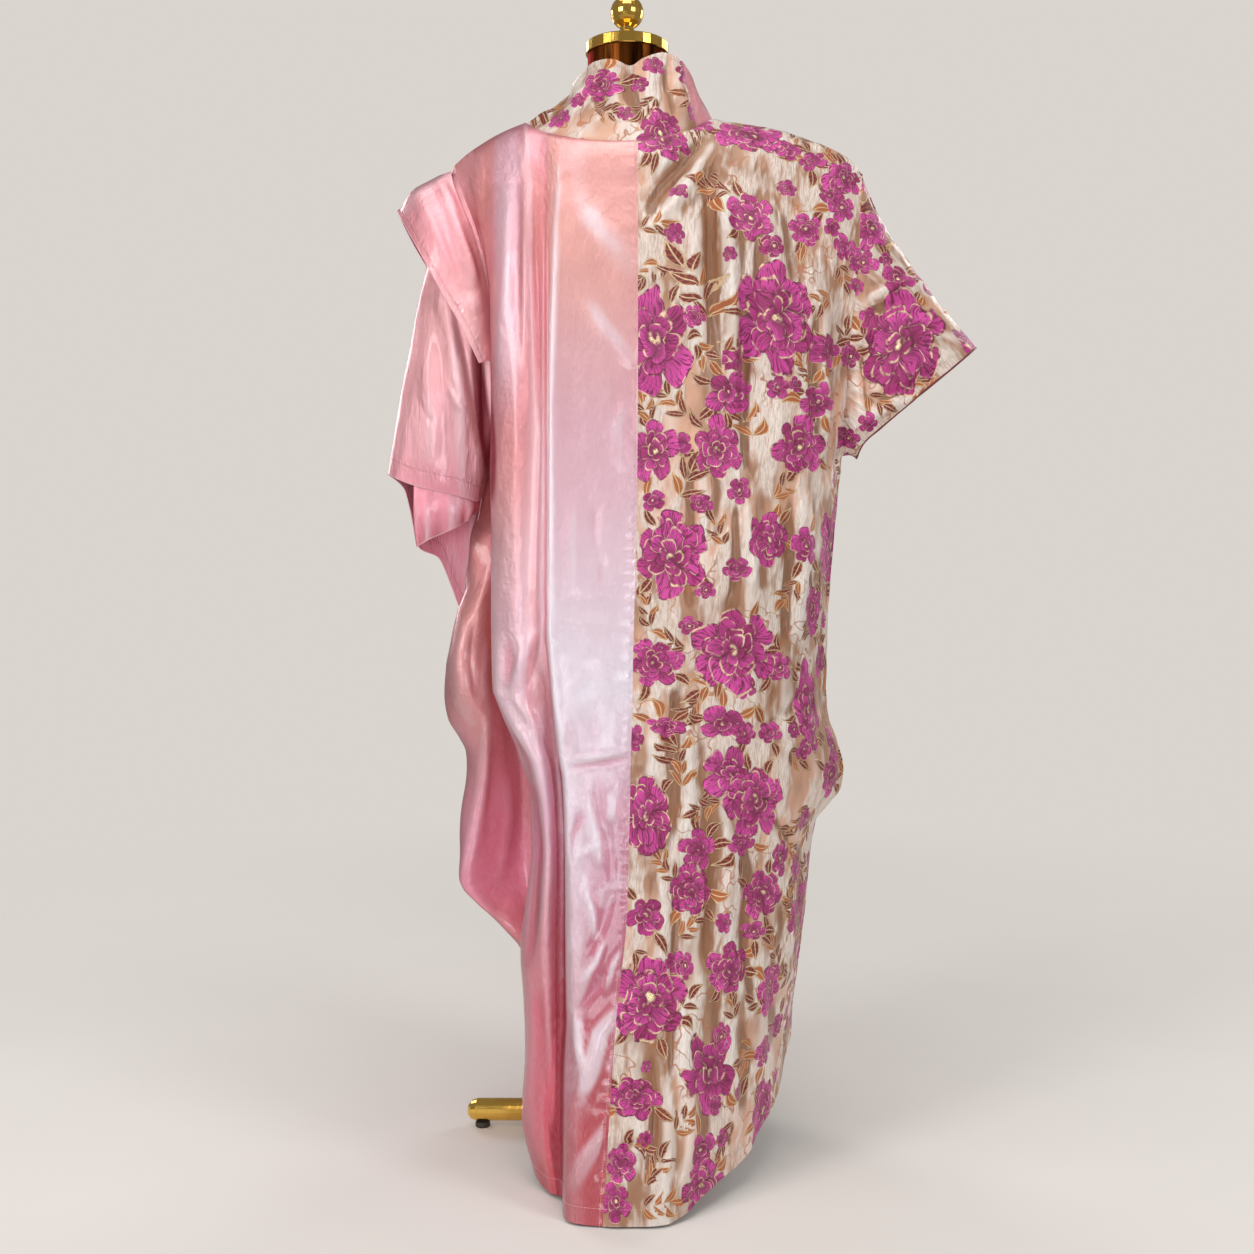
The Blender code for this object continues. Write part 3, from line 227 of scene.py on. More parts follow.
armholes = {"back_satin": "armhole_left_back", "front_satin": "armhole_left_front",
            "back_brocade": "armhole_right_back", "front_brocade": "armhole_right_front"}

neckBackLeft = [(0.0153, -0.0850, 1.4180), (-0.0377, -0.0800, 1.4195), (-0.0730, -0.0700, 1.4262),
                (-0.1165, -0.0430, 1.4420), sideNeckLeft]
neckBackRight = [(0.0153, -0.0850, 1.4180), (0.0461, -0.0800, 1.4250), (0.0891, -0.0550, 1.4420),
                 sideNeckRight]
neckFrontLeft = [sideNeckLeft, (-0.1180, 0.0420, 1.4420), (-0.0600, 0.0750, 1.4180), (0.0153, 0.0860, 1.4080)]
neckFrontRight = [sideNeckRight, (0.0950, 0.0450, 1.4430), (0.0560, 0.0740, 1.4200), (0.0153, 0.0860, 1.4080)]
shoulderLineLeft = [sideNeckLeft, (-0.1840, -0.002, 1.4510), (-0.2277, 0.0, 1.4260), shoulderLeft]
shoulderLineRight = [sideNeckRight, (0.1930, -0.002, 1.4610), (0.2510, 0.0, 1.4466), (0.3180, 0.0, 1.4190),
                     shoulderRight]

# Top edge of the collar, from the right side neck point by the back to the left and round the front
collarTop = [(0.0970, -0.0120, 1.5170), (0.0800, -0.0440, 1.5410), (0.0540, -0.0640, 1.5490),
             (0.0230, -0.0690, 1.5390), (0.0050, -0.0700, 1.5280), (-0.0200, -0.0700, 1.5370),
             (-0.0450, -0.0660, 1.5350), (-0.0620, -0.0500, 1.5270), (-0.0760, -0.0220, 1.5180),
             (-0.0830, 0.0150, 1.5120), (-0.0700, 0.0550, 1.4950), (-0.0350, 0.0800, 1.4800),
             (0.0100, 0.0880, 1.4720), (0.0500, 0.0760, 1.4820), (0.0800, 0.0420, 1.5000)]

# Sleeves: control point and hem point at even stations, from the top round by the back
leftStations = [
    ((-0.302, -0.004, 1.250), (-0.3438, -0.006, 0.958)), ((-0.294, -0.040, 1.215), (-0.3300, -0.036, 0.951)),
    ((-0.284, -0.070, 1.150), (-0.3020, -0.052, 0.940)), ((-0.256, -0.078, 1.085), (-0.2700, -0.056, 0.932)),
    ((-0.226, -0.070, 1.035), (-0.2400, -0.052, 0.926)), ((-0.204, -0.042, 0.990), (-0.2150, -0.040, 0.918)),
    ((-0.204, -0.004, 0.978), (-0.2100, -0.014, 0.920)), ((-0.216, 0.044, 0.965), (-0.2380, 0.044, 0.800)),
    ((-0.230, 0.066, 0.985), (-0.2460, 0.052, 0.762)), ((-0.258, 0.076, 1.060), (-0.2780, 0.054, 0.836)),
    ((-0.280, 0.066, 1.130), (-0.3090, 0.038, 0.856)), ((-0.294, 0.036, 1.210), (-0.3240, 0.016, 0.936))]
rightStations = [
    ((0.364, 0.000, 1.306), (0.506, 0.000, 1.142)), ((0.370, -0.034, 1.270), (0.494, -0.024, 1.133)),
    ((0.370, -0.056, 1.215), (0.464, -0.038, 1.108)), ((0.362, -0.062, 1.150), (0.422, -0.044, 1.074)),
    ((0.346, -0.056, 1.075), (0.378, -0.040, 1.036)), ((0.328, -0.034, 1.010), (0.340, -0.024, 1.002)),
    ((0.324, 0.000, 0.988), (0.333, 0.000, 0.982)), ((0.328, 0.034, 1.010), (0.340, 0.024, 1.000)),
    ((0.346, 0.056, 1.075), (0.378, 0.040, 1.032)), ((0.362, 0.062, 1.150), (0.422, 0.044, 1.070)),
    ((0.370, 0.056, 1.215), (0.464, 0.038, 1.104)), ((0.370, 0.034, 1.270), (0.494, 0.024, 1.130))]
sleeveShares = (0.0, 0.04, 0.10, 0.19, 0.29, 0.40, 0.51, 0.62, 0.73, 0.83, 0.92, 1.0)

# Free edge of the cap over the left sleeve, from its low end at the back over the top
capEdge = [(-0.206, -0.086, 1.108), (-0.228, -0.090, 1.155), (-0.2574, -0.088, 1.206),
           (-0.285, -0.074, 1.256), (-0.309, -0.046, 1.298), (-0.3336, 0.000, 1.340),
           (-0.309, 0.050, 1.290), (-0.275, 0.082, 1.235), (-0.240, 0.088, 1.165), (-0.212, 0.080, 1.110)]


def smoothSpan(first, firstSlope, last, lastSlope, share):
    # between two points that the line leaves and reaches with these slopes
    return (first * (2 * share ** 3 - 3 * share ** 2 + 1) + firstSlope * (share ** 3 - 2 * share ** 2 + share)
            + last * (3 * share ** 2 - 2 * share ** 3) + lastSlope * (share ** 3 - share ** 2))


def stepped(knots, values, at):
    # smooth line through the rows that never swings past them
    knots = np.asarray(knots, float)
    values = np.asarray(values, float)
    at = np.clip(np.asarray(at, float), knots[0], knots[-1])
    gap = np.diff(knots)
    rise = np.diff(values, axis=0) / gap[:, None]
    slope = np.zeros_like(values)
    slope[0], slope[-1] = rise[0], rise[-1]
    before, after = rise[:-1], rise[1:]
    first = (2 * gap[1:] + gap[:-1])[:, None]
    second = (gap[1:] + 2 * gap[:-1])[:, None]
    same = before * after > 0
    safeBefore = np.where(same, before, 1.0)
    safeAfter = np.where(same, after, 1.0)
    slope[1:-1] = np.where(same, (first + second) / (first / safeBefore + second / safeAfter), 0.0)
    index = np.clip(np.searchsorted(knots, at, side="right") - 1, 0, len(knots) - 2)
    share = ((at - knots[index]) / gap[index])[..., None]
    width = gap[index][..., None]
    return smoothSpan(values[index], slope[index] * width, values[index + 1], slope[index + 1] * width, share)


def foldAt(name, heights):
    rows = foldLines[name]
    return stepped([row[0] for row in rows], [row[1:] for row in rows], heights)


def curvePoint(points, share, closed=False):
    # a smooth curve with shortened slopes; each point may itself be a column of points
    count = len(points)
    spans = count if closed else count - 1
    place = min(max(share, 0.0), 1.0) * spans
    index = min(int(place), spans - 1)
    local = place - index
    near = []
    for step in (-1, 0, 1, 2):
        at = (index + step) % count if closed else min(max(index + step, 0), count - 1)
        near.append(np.asarray(points[at], float))
    reach = np.linalg.norm(near[2] - near[1], axis=-1, keepdims=True)

    def slopeOf(change):
        size = np.linalg.norm(change, axis=-1, keepdims=True)
        return change / np.maximum(size, 1e-9) * np.minimum(reach, size * 0.5)

    return smoothSpan(near[1], slopeOf(near[2] - near[0]), near[2], slopeOf(near[3] - near[1]), local)


def placesOf(panel):
    places = []
    for index, (name, weight, width) in enumerate(panelPlans[panel][:-1]):
        steps = max(4, 4 * round(width / cloth["cell"] / 4))
        places += [index + step / steps for step in range(steps)]
    return places + [float(len(panelPlans[panel]) - 1)]


def weightAt(panel, place):
    # counts along the panel's weights, as its shares of neck and shoulder do
    sums = [0.0]
    for name, weight, width in panelPlans[panel][:-1]:
        sums.append(sums[-1] + weight)
    return float(np.interp(place, range(len(sums)), sums))


def hemAt(panel, place):
    names = [plan[0] for plan in panelPlans[panel]]
    index = min(int(place), len(names) - 2)
    local = place - index
    share = local * local * (3 - 2 * local)
    return hemHeights[names[index]] * (1 - share) + hemHeights[names[index + 1]] * share


def sectionColumn(panel, place, heights, upper):
    names = [plan[0] for plan in panelPlans[panel]]
    if upper:
        swap = {"left_side": armholes[panel], "right_side": armholes[panel]}
        names = [swap.get(name, name) for name in names]
    column = curvePoint([foldAt(name, heights) for name in names], place / (len(names) - 1))
    return np.column_stack([column, heights])


def topPoint(panel, place):
    neck, line, edge = {
        "back_satin": (neckBackLeft, shoulderLineLeft, 3.0),
        "back_brocade": (neckBackRight, shoulderLineRight, 1.0),
        "front_satin": (neckFrontLeft, shoulderLineLeft, 4.0),
        "front_brocade": (neckFrontRight, shoulderLineRight, 3.0)}[panel]
    here, border = weightAt(panel, place), weightAt(panel, edge)
    last = weightAt(panel, len(panelPlans[panel]) - 1)
    if panel.startswith("back"):
        if here <= border:
            return curvePoint(neck, here / border)
        return curvePoint(line, (here - border) / (last - border))
    if here >= border:
        return curvePoint(neck, (here - border) / (last - border))
    return curvePoint(line, (border - here) / border)


lowLevels = np.linspace(0.0, underarm, cloth["lowRows"])
highShares = np.sin(np.linspace(0.0, math.pi / 2, cloth["highRows"] + 1))[1:]


def panelGrid(panel):
    places = placesOf(panel)
    lower = np.zeros((len(lowLevels), len(places), 3))
    upper = np.zeros((len(highShares), len(places), 3))
    blendAt = cloth["hemBlend"]
    for column, place in enumerate(places):
        hem = hemAt(panel, place)
        heights = np.where(lowLevels < blendAt, hem + lowLevels * (blendAt - hem) / blendAt, lowLevels)
        lower[:, column] = sectionColumn(panel, place, heights, False)
        top = topPoint(panel, place)
        heights = underarm + (top[2] - underarm) * highShares
        ring = sectionColumn(panel, place, heights, True)
        upper[:, column, 0] = ring[:, 0] + (top[0] - ring[:, 0]) * highShares ** 3
        upper[:, column, 1] = top[1] + (ring[:, 1] - top[1]) * np.sqrt(np.maximum(1.0 - highShares ** 4, 0.0))
        upper[:, column, 2] = heights
    side = len(places) - 1 if panel.startswith("back") else 0
    sideWeight = weightAt(panel, places[side])
    drift = foldAt(armholes[panel], upper[:, side, 2]) - upper[:, side, :2]
    for column, place in enumerate(places):
        away = abs(weightAt(panel, place) - sideWeight) / cloth["edgeShare"]
        if away < 1.0:
            upper[:, column, :2] += drift * (1.0 - away)
    return np.concatenate([lower, upper]), places


def sleeveAt(ring, arounds, stations, share):
    controls = [station[0] for station in stations]
    hems = [station[1] for station in stations]
    control = np.array([curvePoint(controls, around, True) for around in arounds])
    hem = np.array([curvePoint(hems, around, True) for around in arounds])
    return ring * (1 - share) ** 2 + control * (2 * share * (1 - share)) + hem * share ** 2


grids = {}
places = {}
for panel in panelPlans:
    grids[panel], places[panel] = panelGrid(panel)
firstHigh = len(lowLevels) - 1
ringShares = np.concatenate([[0.0], highShares])
lastStation = len(sleeveShares) - 1
ringIndex = stepped(sleeveShares, [[float(n)] for n in range(lastStation + 1)], ringShares)[:, 0]
rings = {}
for side, back, front in (("left", "back_satin", "front_satin"), ("right", "back_brocade", "front_brocade")):
    backEdge = grids[back][firstHigh:, -1][::-1]
    frontEdge = grids[front][firstHigh:, 0][1:-1]
    arounds = np.concatenate([lastStation - ringIndex[::-1], lastStation + ringIndex[1:-1]])
    arounds = arounds / (2 * lastStation)
    rings[side] = (np.concatenate([backEdge, frontEdge]), arounds)
sleeveRows = {"left_sleeve": 96, "right_sleeve": 56}
for name, side, stations in (("left_sleeve", "left", leftStations), ("right_sleeve", "right", rightStations)):
    ring, arounds = rings[side]
    shares = np.linspace(0.0, 1.0, sleeveRows[name] + 1)
    grids[name] = np.array([sleeveAt(ring, arounds, stations, share) for share in shares])
    grids[name] = np.concatenate([grids[name], grids[name][:, :1]], axis=1)

# The satin front is two pieces, split under the side of the neck
split = places["front_satin"].index(4.0)
grids["side_satin"] = grids["front_satin"][:, :split + 1]
grids["front_satin"] = grids["front_satin"][:, split:]

# Collar on the neck ring
brocadeNeck = places["back_brocade"].index(1.0)
satinNeck = places["back_satin"].index(3.0)
frontBrocadeNeck = places["front_brocade"].index(3.0)
neckRing = np.concatenate([
    grids["back_brocade"][-1][:brocadeNeck + 1][::-1], grids["back_satin"][-1][1:satinNeck + 1],
    grids["front_satin"][-1][1:], grids["front_brocade"][-1][frontBrocadeNeck + 1:-1][::-1]])
ringSteps = np.linalg.norm(np.diff(np.concatenate([neckRing, neckRing[:1]]), axis=0), axis=1)
ringLengths = np.concatenate([[0.0], np.cumsum(ringSteps)])
topLine = np.array([curvePoint(collarTop, length / ringLengths[-1], True) for length in ringLengths[:-1]])
collarRows = 30
collarGrid = []
for row in range(collarRows + 1):
    share = row / collarRows
    straight = np.clip(neckRing[:, 0] / sideNeckRight[0], 0.0, 1.0)
    ease = math.sin(share * math.pi / 2) * (1 - straight) + share * straight
    line = neckRing + (topLine - neckRing) * ease[:, None]
    line[:, 2] = neckRing[:, 2] + (topLine[:, 2] - neckRing[:, 2]) * share
    collarGrid.append(line)
collarGrid = np.array(collarGrid)
facingBack = brocadeNeck // 4
facingFront = (len(places["front_brocade"]) - 1 - frontBrocadeNeck) // 2
count = len(neckRing)
facingColumns = [(count - facingFront + step) % count for step in range(facingFront + facingBack + 1)]
restColumns = [(facingBack + step) % count for step in range(count - facingFront - facingBack + 1)]
grids["collar_facing"] = collarGrid[:, facingColumns]
grids["collar"] = collarGrid[:, restColumns]

# Cap over the left sleeve, with a point inside the sleeve that its faces turn away from
cap = {"span": 0.60, "start": 0.30, "clear": 0.0029, "lift": 0.006, "crown": 0.014,
       "inside": (-0.20, 0.0, 1.15), "columns": 100, "rows": 44}
ring, arounds = rings["left"]
wrapped = np.concatenate([arounds, [1.0]])
ringClosed = np.concatenate([ring, ring[:1]])


def leftSleevePoint(around, share):
    start = np.array([np.interp(around % 1.0, wrapped, ringClosed[:, axis]) for axis in range(3)])
    return sleeveAt(start[None], [around % 1.0], leftStations, share)[0]


capRows = np.zeros((cap["rows"] + 1, cap["columns"] + 1, 3))
for column in range(cap["columns"] + 1):
    around = (1 - 2 * column / cap["columns"]) * cap["span"] * 0.5
    first, second = leftSleevePoint(around, 0.0), leftSleevePoint(around, 0.1)
    out = np.cross(leftSleevePoint(around + 0.01, 0.1) - leftSleevePoint(around - 0.01, 0.1), second - first)
    out /= np.linalg.norm(out)
    if out @ (second - np.array(cap["inside"])) < 0:
        out = -out
    start = first + (second - first) * cap["start"] + out * cap["clear"]
    edge = curvePoint(capEdge, column / cap["columns"])
    crown = 1 - abs(2 * column / cap["columns"] - 1)
    for row in range(cap["rows"] + 1):
        share = row / cap["rows"]
        lift = out * (cap["lift"] + cap["crown"] * crown) * math.sin(math.pi * share)
        capRows[row, column] = start + (edge - start) * share + lift
grids["left_cap"] = capRows
print("cloth laid out:", {name: grid.shape[:2] for name, grid in grids.items()})

# Which way round the rows must go for a face to look outwards
turnedOver = {"back_satin", "side_satin", "front_satin", "left_sleeve", "collar", "collar_facing"}


def gridNormals(grid):
    across = np.zeros_like(grid)
    across[:, 1:-1] = grid[:, 2:] - grid[:, :-2]
    across[:, 0], across[:, -1] = grid[:, 1] - grid[:, 0], grid[:, -1] - grid[:, -2]
    up = np.zeros_like(grid)
    up[1:-1] = grid[2:] - grid[:-2]
    up[0], up[-1] = grid[1] - grid[0], grid[-1] - grid[-2]
    found = np.cross(across, up)
    return found / np.maximum(np.linalg.norm(found, axis=2, keepdims=True), 1e-12)


weldSteps = 20000  # steps in a metre, so that points within 0.05 mm count as one


def seamGroups(names):
    # ids of the points that lie on one another, across the pieces
    points = np.concatenate([grids[name].reshape(-1, 3) for name in names])
    steps = np.round(points * weldSteps).astype(np.int64)
    return np.unique(steps, axis=0, return_inverse=True)[1].reshape(-1)


def sharedMean(values, groups):
    sums = np.zeros((groups.max() + 1, values.shape[1]))
    np.add.at(sums, groups, values)
    counts = np.bincount(groups)[:, None]
    return (sums / counts)[groups]


bodyNames = [name for name in grids if name != "left_cap"]
groups = seamGroups(bodyNames)


def bodyParts(points):
    # the points of all body pieces, shared out to each piece again
    result, start = {}, 0
    for name in bodyNames:
        size = grids[name].shape[0] * grids[name].shape[1]
        result[name] = points[start:start + size].reshape(grids[name].shape)
        start += size
    return result


def bodyNormals():
    parts = []
    for name in bodyNames:
        found = gridNormals(grids[name])
        parts.append((-found if name in turnedOver else found).reshape(-1, 3))
    mean = sharedMean(np.concatenate(parts), groups)
    mean /= np.maximum(np.linalg.norm(mean, axis=1, keepdims=True), 1e-12)
    result = bodyParts(mean)
    capNormal = gridNormals(grids["left_cap"])
    depth = grids["left_cap"][..., 1]
    if ((depth - depth.mean()) * capNormal[..., 1]).mean() < 0:
        capNormal = -capNormal
    result["left_cap"] = capNormal
    return result


# Creases: path in the photo's 1254-pixel frame, half width in pixels, height in millimetres
creases = {
    "back_satin": [
        ([(519, 186), (517, 250), (519, 330), (523, 430)], 7.0, -2.0),
        ([(527, 186), (527, 260), (530, 340), (533, 430), (528, 540), (518, 640)], 8.0, 1.6),
        ([(537, 190), (538, 260), (541, 340), (541, 420)], 5.5, -0.9),
        ([(509, 190), (505, 260), (501, 330), (498, 400)], 7.0, 1.8),
        ([(560, 170), (556, 260), (553, 400), (552, 540), (553, 640)], 3.2, 1.3),
        ([(584, 206), (603, 232), (622, 256), (637, 276)], 13.0, 2.0),
        ([(588, 300), (604, 326), (622, 348), (637, 366)], 8.0, 2.2),
        ([(611, 368), (607, 400), (608, 432)], 3.0, 0.8),
        ([(626, 400), (616, 430), (622, 470)], 5.0, 1.6),
        ([(575, 495), (572, 540), (573, 590)], 3.5, 1.3),
        ([(591, 495), (596, 540), (600, 590)], 3.5, -1.2),
        ([(605, 500), (603, 560)], 3.5, 1.0),
        ([(571, 766), (590, 764), (612, 761), (630, 757)], 3.4, -1.7),
        ([(598, 770), (600, 812), (610, 850), (613, 884)], 3.2, -1.3),
        ([(620, 778), (611, 808), (600, 838)], 3.2, 1.2),
        ([(580, 880), (592, 912), (597, 946)], 3.4, 1.2),
        ([(612, 890), (604, 920), (590, 952)], 3.2, -1.1),
        ([(571, 760), (600, 758), (630, 751)], 4.0, 1.0),
        ([(587, 792), (594, 830), (601, 866)], 3.4, 1.4),
        ([(604, 786), (612, 806), (618, 832)], 3.0, 1.1),
        ([(583, 812), (572, 836), (570, 858)], 3.4, -1.1),
        ([(575, 858), (590, 849), (600, 842)], 2.8, 1.0),
        ([(622, 690), (613, 716), (612, 748)], 4.0, 1.1),
        ([(600, 640), (604, 700), (603, 750)], 5.0, 0.9),
        ([(621, 948), (612, 968), (606, 990)], 3.6, 1.5),
        ([(604, 940), (596, 962), (580, 984)], 3.6, 1.5),
        ([(606, 972), (590, 996), (574, 1013)], 3.4, -1.3),
        ([(618, 1010), (600, 1034), (592, 1070), (583, 1094)], 8.0, 2.6),
        ([(574, 1010), (578, 1050), (586, 1080)], 4.5, 1.8),
        ([(569, 1010), (571, 1060), (568, 1110)], 4.0, -1.6),
        ([(612, 1120), (600, 1140), (583, 1165), (570, 1190)], 9.0, 2.0),
        ([(600, 1180), (606, 1150), (611, 1110)], 5.0, -1.6),
        ([(498, 640), (500, 690), (518, 728), (537, 760), (546, 800)], 5.5, 4.0),
        ([(528, 632), (520, 668), (512, 692)], 5.0, 2.8),
        ([(540, 640), (527, 690), (535, 726), (548, 752)], 5.5, -2.6),
        ([(512, 694), (528, 716), (541, 738)], 4.0, 2.0),
        ([(546, 620), (551, 660), (556, 704), (560, 768)], 4.0, 2.4),
        ([(533, 790), (537, 850), (534, 905), (530, 960)], 5.0, -2.4),
        ([(546, 810), (549, 860), (546, 920), (548, 980), (549, 1060)], 5.0, 2.2),
        ([(529, 960), (533, 1030), (530, 1100), (538, 1160)], 5.0, 1.8),
        ([(540, 990), (544, 1050), (546, 1120), (552, 1170)], 4.0, -1.8)],
    "side_satin": [
        ([(462, 622), (456, 660), (461, 700), (472, 722)], 6.0, 4.0),
        ([(474, 618), (470, 660), (476, 700)], 4.5, -3.0),
        ([(486, 640), (484, 680), (488, 712)], 4.0, 2.2),
        ([(488, 716), (482, 780), (474, 830), (466, 868)], 5.0, 3.0),
        ([(497, 740), (493, 800), (486, 850)], 5.0, -2.4),
        ([(505, 770), (508, 820), (500, 880)], 5.0, 1.8)],
    "left_sleeve": [
        ([(444, 285), (453, 340), (461, 400), (464, 468), (465, 500)], 8.0, 5.0),
        ([(431, 300), (438, 350), (444, 410), (446, 470)], 8.0, -3.2),
        ([(424, 330), (427, 380), (431, 430), (430, 480)], 8.0, 1.6),
        ([(414, 370), (412, 420), (407, 460)], 8.0, -1.2),
        ([(404, 400), (400, 440), (395, 475)], 8.0, 1.0),
        ([(452, 300), (464, 350), (474, 400), (477, 440)], 5.0, -2.8),
        ([(470, 400), (474, 440), (478, 480)], 4.5, 2.0),
        ([(446, 380), (455, 402), (470, 418)], 3.0, 1.2),
        ([(416, 398), (426, 416), (440, 430)], 3.0, -1.0),
        ([(481, 322), (484, 380), (486, 445)], 4.0, -7.0)],
    "left_cap": [
        ([(441, 178), (451, 205), (461, 235), (470, 262), (478, 292)], 8.0, 3.6),
        ([(431, 186), (441, 216), (452, 246), (463, 276), (474, 318)], 9.0, -3.4),
        ([(420, 196), (432, 222), (445, 254), (456, 284)], 9.0, 1.6),
        ([(447, 186), (452, 196), (458, 212)], 4.0, 2.4),
        ([(407, 204), (420, 226), (434, 254)], 8.0, -1.4),
        ([(470, 236), (478, 262), (486, 290)], 5.0, -1.6),
        ([(452, 296), (466, 306), (484, 304)], 6.0, 2.4),
        ([(446, 272), (462, 286), (482, 290)], 5.0, -1.8)],
    "back_brocade": [
        ([(643, 212), (662, 186), (682, 164), (700, 146)], 9.0, -5.0),
        ([(648, 236), (672, 208), (694, 176), (706, 150)], 8.0, 3.4),
        ([(711, 180), (711, 240), (712, 300), (714, 352)], 6.5, -5.0),
        ([(722, 196), (729, 250), (733, 310), (731, 372), (733, 420)], 7.0, 5.2),
        ([(742, 300), (745, 360), (744, 420), (746, 470)], 6.0, -3.8),
        ([(697, 220), (694, 290), (699, 350)], 7.0, 2.6),
        ([(769, 190), (772, 250), (786, 300)], 8.0, 2.4),
        ([(757, 240), (760, 290), (765, 330)], 6.0, -2.8),
        ([(826, 300), (823, 350), (825, 410), (829, 450)], 6.0, 3.2),
        ([(816, 320), (812, 380), (816, 440)], 5.0, -2.6),
        ([(812, 170), (826, 184), (842, 192)], 6.0, -2.0),
        ([(700, 430), (703, 500), (699, 560), (704, 620)], 8.0, 2.6),
        ([(690, 470), (692, 540), (688, 600)], 6.0, -2.6),
        ([(748, 500), (752, 580), (747, 640), (750, 700)], 8.0, 2.6),
        ([(735, 500), (737, 560), (733, 600)], 6.0, -2.2),
        ([(800, 470), (806, 540), (798, 610), (800, 660)], 7.0, 3.0),
        ([(786, 500), (790, 560), (785, 640)], 6.0, -2.8),
        ([(676, 700), (672, 740), (676, 790)], 8.0, -2.6),
        ([(688, 690), (688, 750), (690, 800), (684, 850)], 6.0, 2.8),
        ([(722, 800), (730, 850), (725, 910), (730, 970)], 7.0, 2.6),
        ([(712, 850), (712, 910), (706, 960)], 6.0, -2.6),
        ([(742, 830), (750, 880), (745, 950), (752, 1000)], 7.0, -3.0),
        ([(660, 860), (664, 920), (657, 980)], 6.0, 2.0),
        ([(678, 880), (676, 930), (672, 1000), (670, 1080)], 6.0, -2.6),
        ([(780, 870), (790, 930), (782, 980)], 7.0, 2.4),
        ([(770, 800), (782, 830), (800, 850)], 6.0, -2.2),
        ([(690, 1000), (684, 1060), (690, 1130), (682, 1190)], 7.0, 2.8),
        ([(740, 1020), (748, 1070), (740, 1110)], 7.0, -2.6),
        ([(760, 980), (764, 1030), (760, 1080)], 6.0, 2.2),
        ([(650, 1060), (655, 1120), (648, 1180)], 7.0, -2.4),
        ([(664, 1090), (668, 1150), (662, 1210)], 6.0, 2.4),
        ([(610, 1150), (630, 1143), (652, 1147)], 3.4, -2.2),
        ([(610, 1157), (632, 1151), (654, 1155)], 4.0, 2.0),
        ([(806, 690), (790, 712), (768, 724)], 6.0, -2.4),
        ([(820, 716), (800, 740), (780, 752)], 6.0, 2.2)],
    "right_sleeve": [
        ([(868, 300), (900, 284), (926, 284)], 5.0, 3.0),
        ([(862, 318), (890, 304), (914, 300), (940, 306)], 4.5, -2.8),
        ([(856, 340), (890, 322), (930, 322)], 4.5, 2.4),
        ([(872, 402), (900, 392), (930, 374), (952, 360)], 5.0, -2.4),
        ([(858, 430), (880, 412), (912, 398)], 5.0, 2.4),
        ([(930, 330), (950, 338), (966, 346)], 5.0, 2.0),
        ([(866, 252), (862, 300), (860, 360), (866, 410)], 5.0, -2.4)],
    "collar": [
        ([(598, 64), (596, 90), (604, 120)], 5.0, -3.2),
        ([(610, 64), (612, 90), (622, 124)], 5.0, 3.0),
        ([(626, 68), (630, 96), (640, 128)], 5.0, -3.0),
        ([(582, 80), (576, 100), (574, 124)], 5.0, 2.8),
        ([(566, 94), (556, 112), (550, 126)], 4.5, -2.4),
        ([(652, 60), (650, 90), (660, 124)], 5.0, 3.0),
        ([(668, 56), (666, 84), (676, 118)], 4.5, -2.8),
        ([(680, 66), (682, 92), (690, 116)], 4.0, 2.4)],
}
# The unseen front, in the same frame as if it were seen through from the back
frontCreases = {
    "front_satin": [
        ([(560, 240), (566, 380), (560, 520), (566, 700)], 9.0, 4.0),
        ([(590, 300), (586, 460), (592, 640)], 8.0, -3.6),
        ([(612, 420), (616, 620), (610, 820), (614, 1010)], 9.0, 3.6),
        ([(575, 700), (572, 860), (578, 1030)], 9.0, -3.6),
        ([(548, 560), (540, 760), (546, 960)], 8.0, 3.6),
        ([(596, 800), (600, 950), (596, 1100)], 8.0, 3.0)],
    "side_satin": [
        ([(500, 240), (506, 360), (500, 500), (506, 640)], 9.0, 4.4),
        ([(482, 330), (486, 460), (480, 580)], 8.0, -3.8),
        ([(520, 420), (516, 560), (522, 720), (516, 880)], 8.0, -3.4),
        ([(494, 700), (488, 800), (496, 900)], 9.0, 3.6),
        ([(476, 640), (470, 740), (478, 840)], 8.0, 3.0)],
    "front_brocade": [
        ([(664, 260), (668, 400), (662, 560), (668, 700)], 9.0, 4.0),
        ([(694, 220), (690, 380), (696, 520)], 8.0, -3.8),
        ([(726, 240), (732, 400), (724, 560), (730, 760)], 9.0, 4.2),
        ([(760, 300), (756, 460), (764, 620)], 8.0, -3.8),
        ([(792, 280), (798, 440), (790, 600)], 9.0, 3.6),
        ([(680, 640), (676, 820), (684, 1000)], 9.0, -3.4),
        ([(712, 760), (716, 920), (708, 1080)], 9.0, 3.4),
        ([(746, 700), (742, 860), (750, 1000)], 8.0, -3.2),
        ([(772, 760), (778, 880), (770, 980)], 8.0, 3.2)],
    "left_sleeve": [
        ([(430, 300), (424, 380), (430, 460)], 8.0, 3.6),
        ([(452, 300), (456, 400), (450, 520)], 8.0, -3.4),
        ([(410, 380), (404, 440), (410, 500)], 7.0, 2.6)],
    "right_sleeve": [
        ([(864, 300), (900, 290), (930, 296)], 6.0, 3.0),
        ([(862, 350), (900, 336), (940, 336)], 6.0, -2.8),
        ([(862, 400), (890, 384), (930, 366)], 6.0, 2.6)],
}


def seenAt(points, side):
    # column and row of the photo where each point shows, and the metres that a pixel spans there
    depth = photo["distance"] + points[..., 1] * side
    across = photo["middle"] + points[..., 0] * photo["focal"] / depth
    down = photo["horizon"] - (points[..., 2] - photo["height"]) * photo["focal"] / depth
    return across, down, depth / photo["focal"]


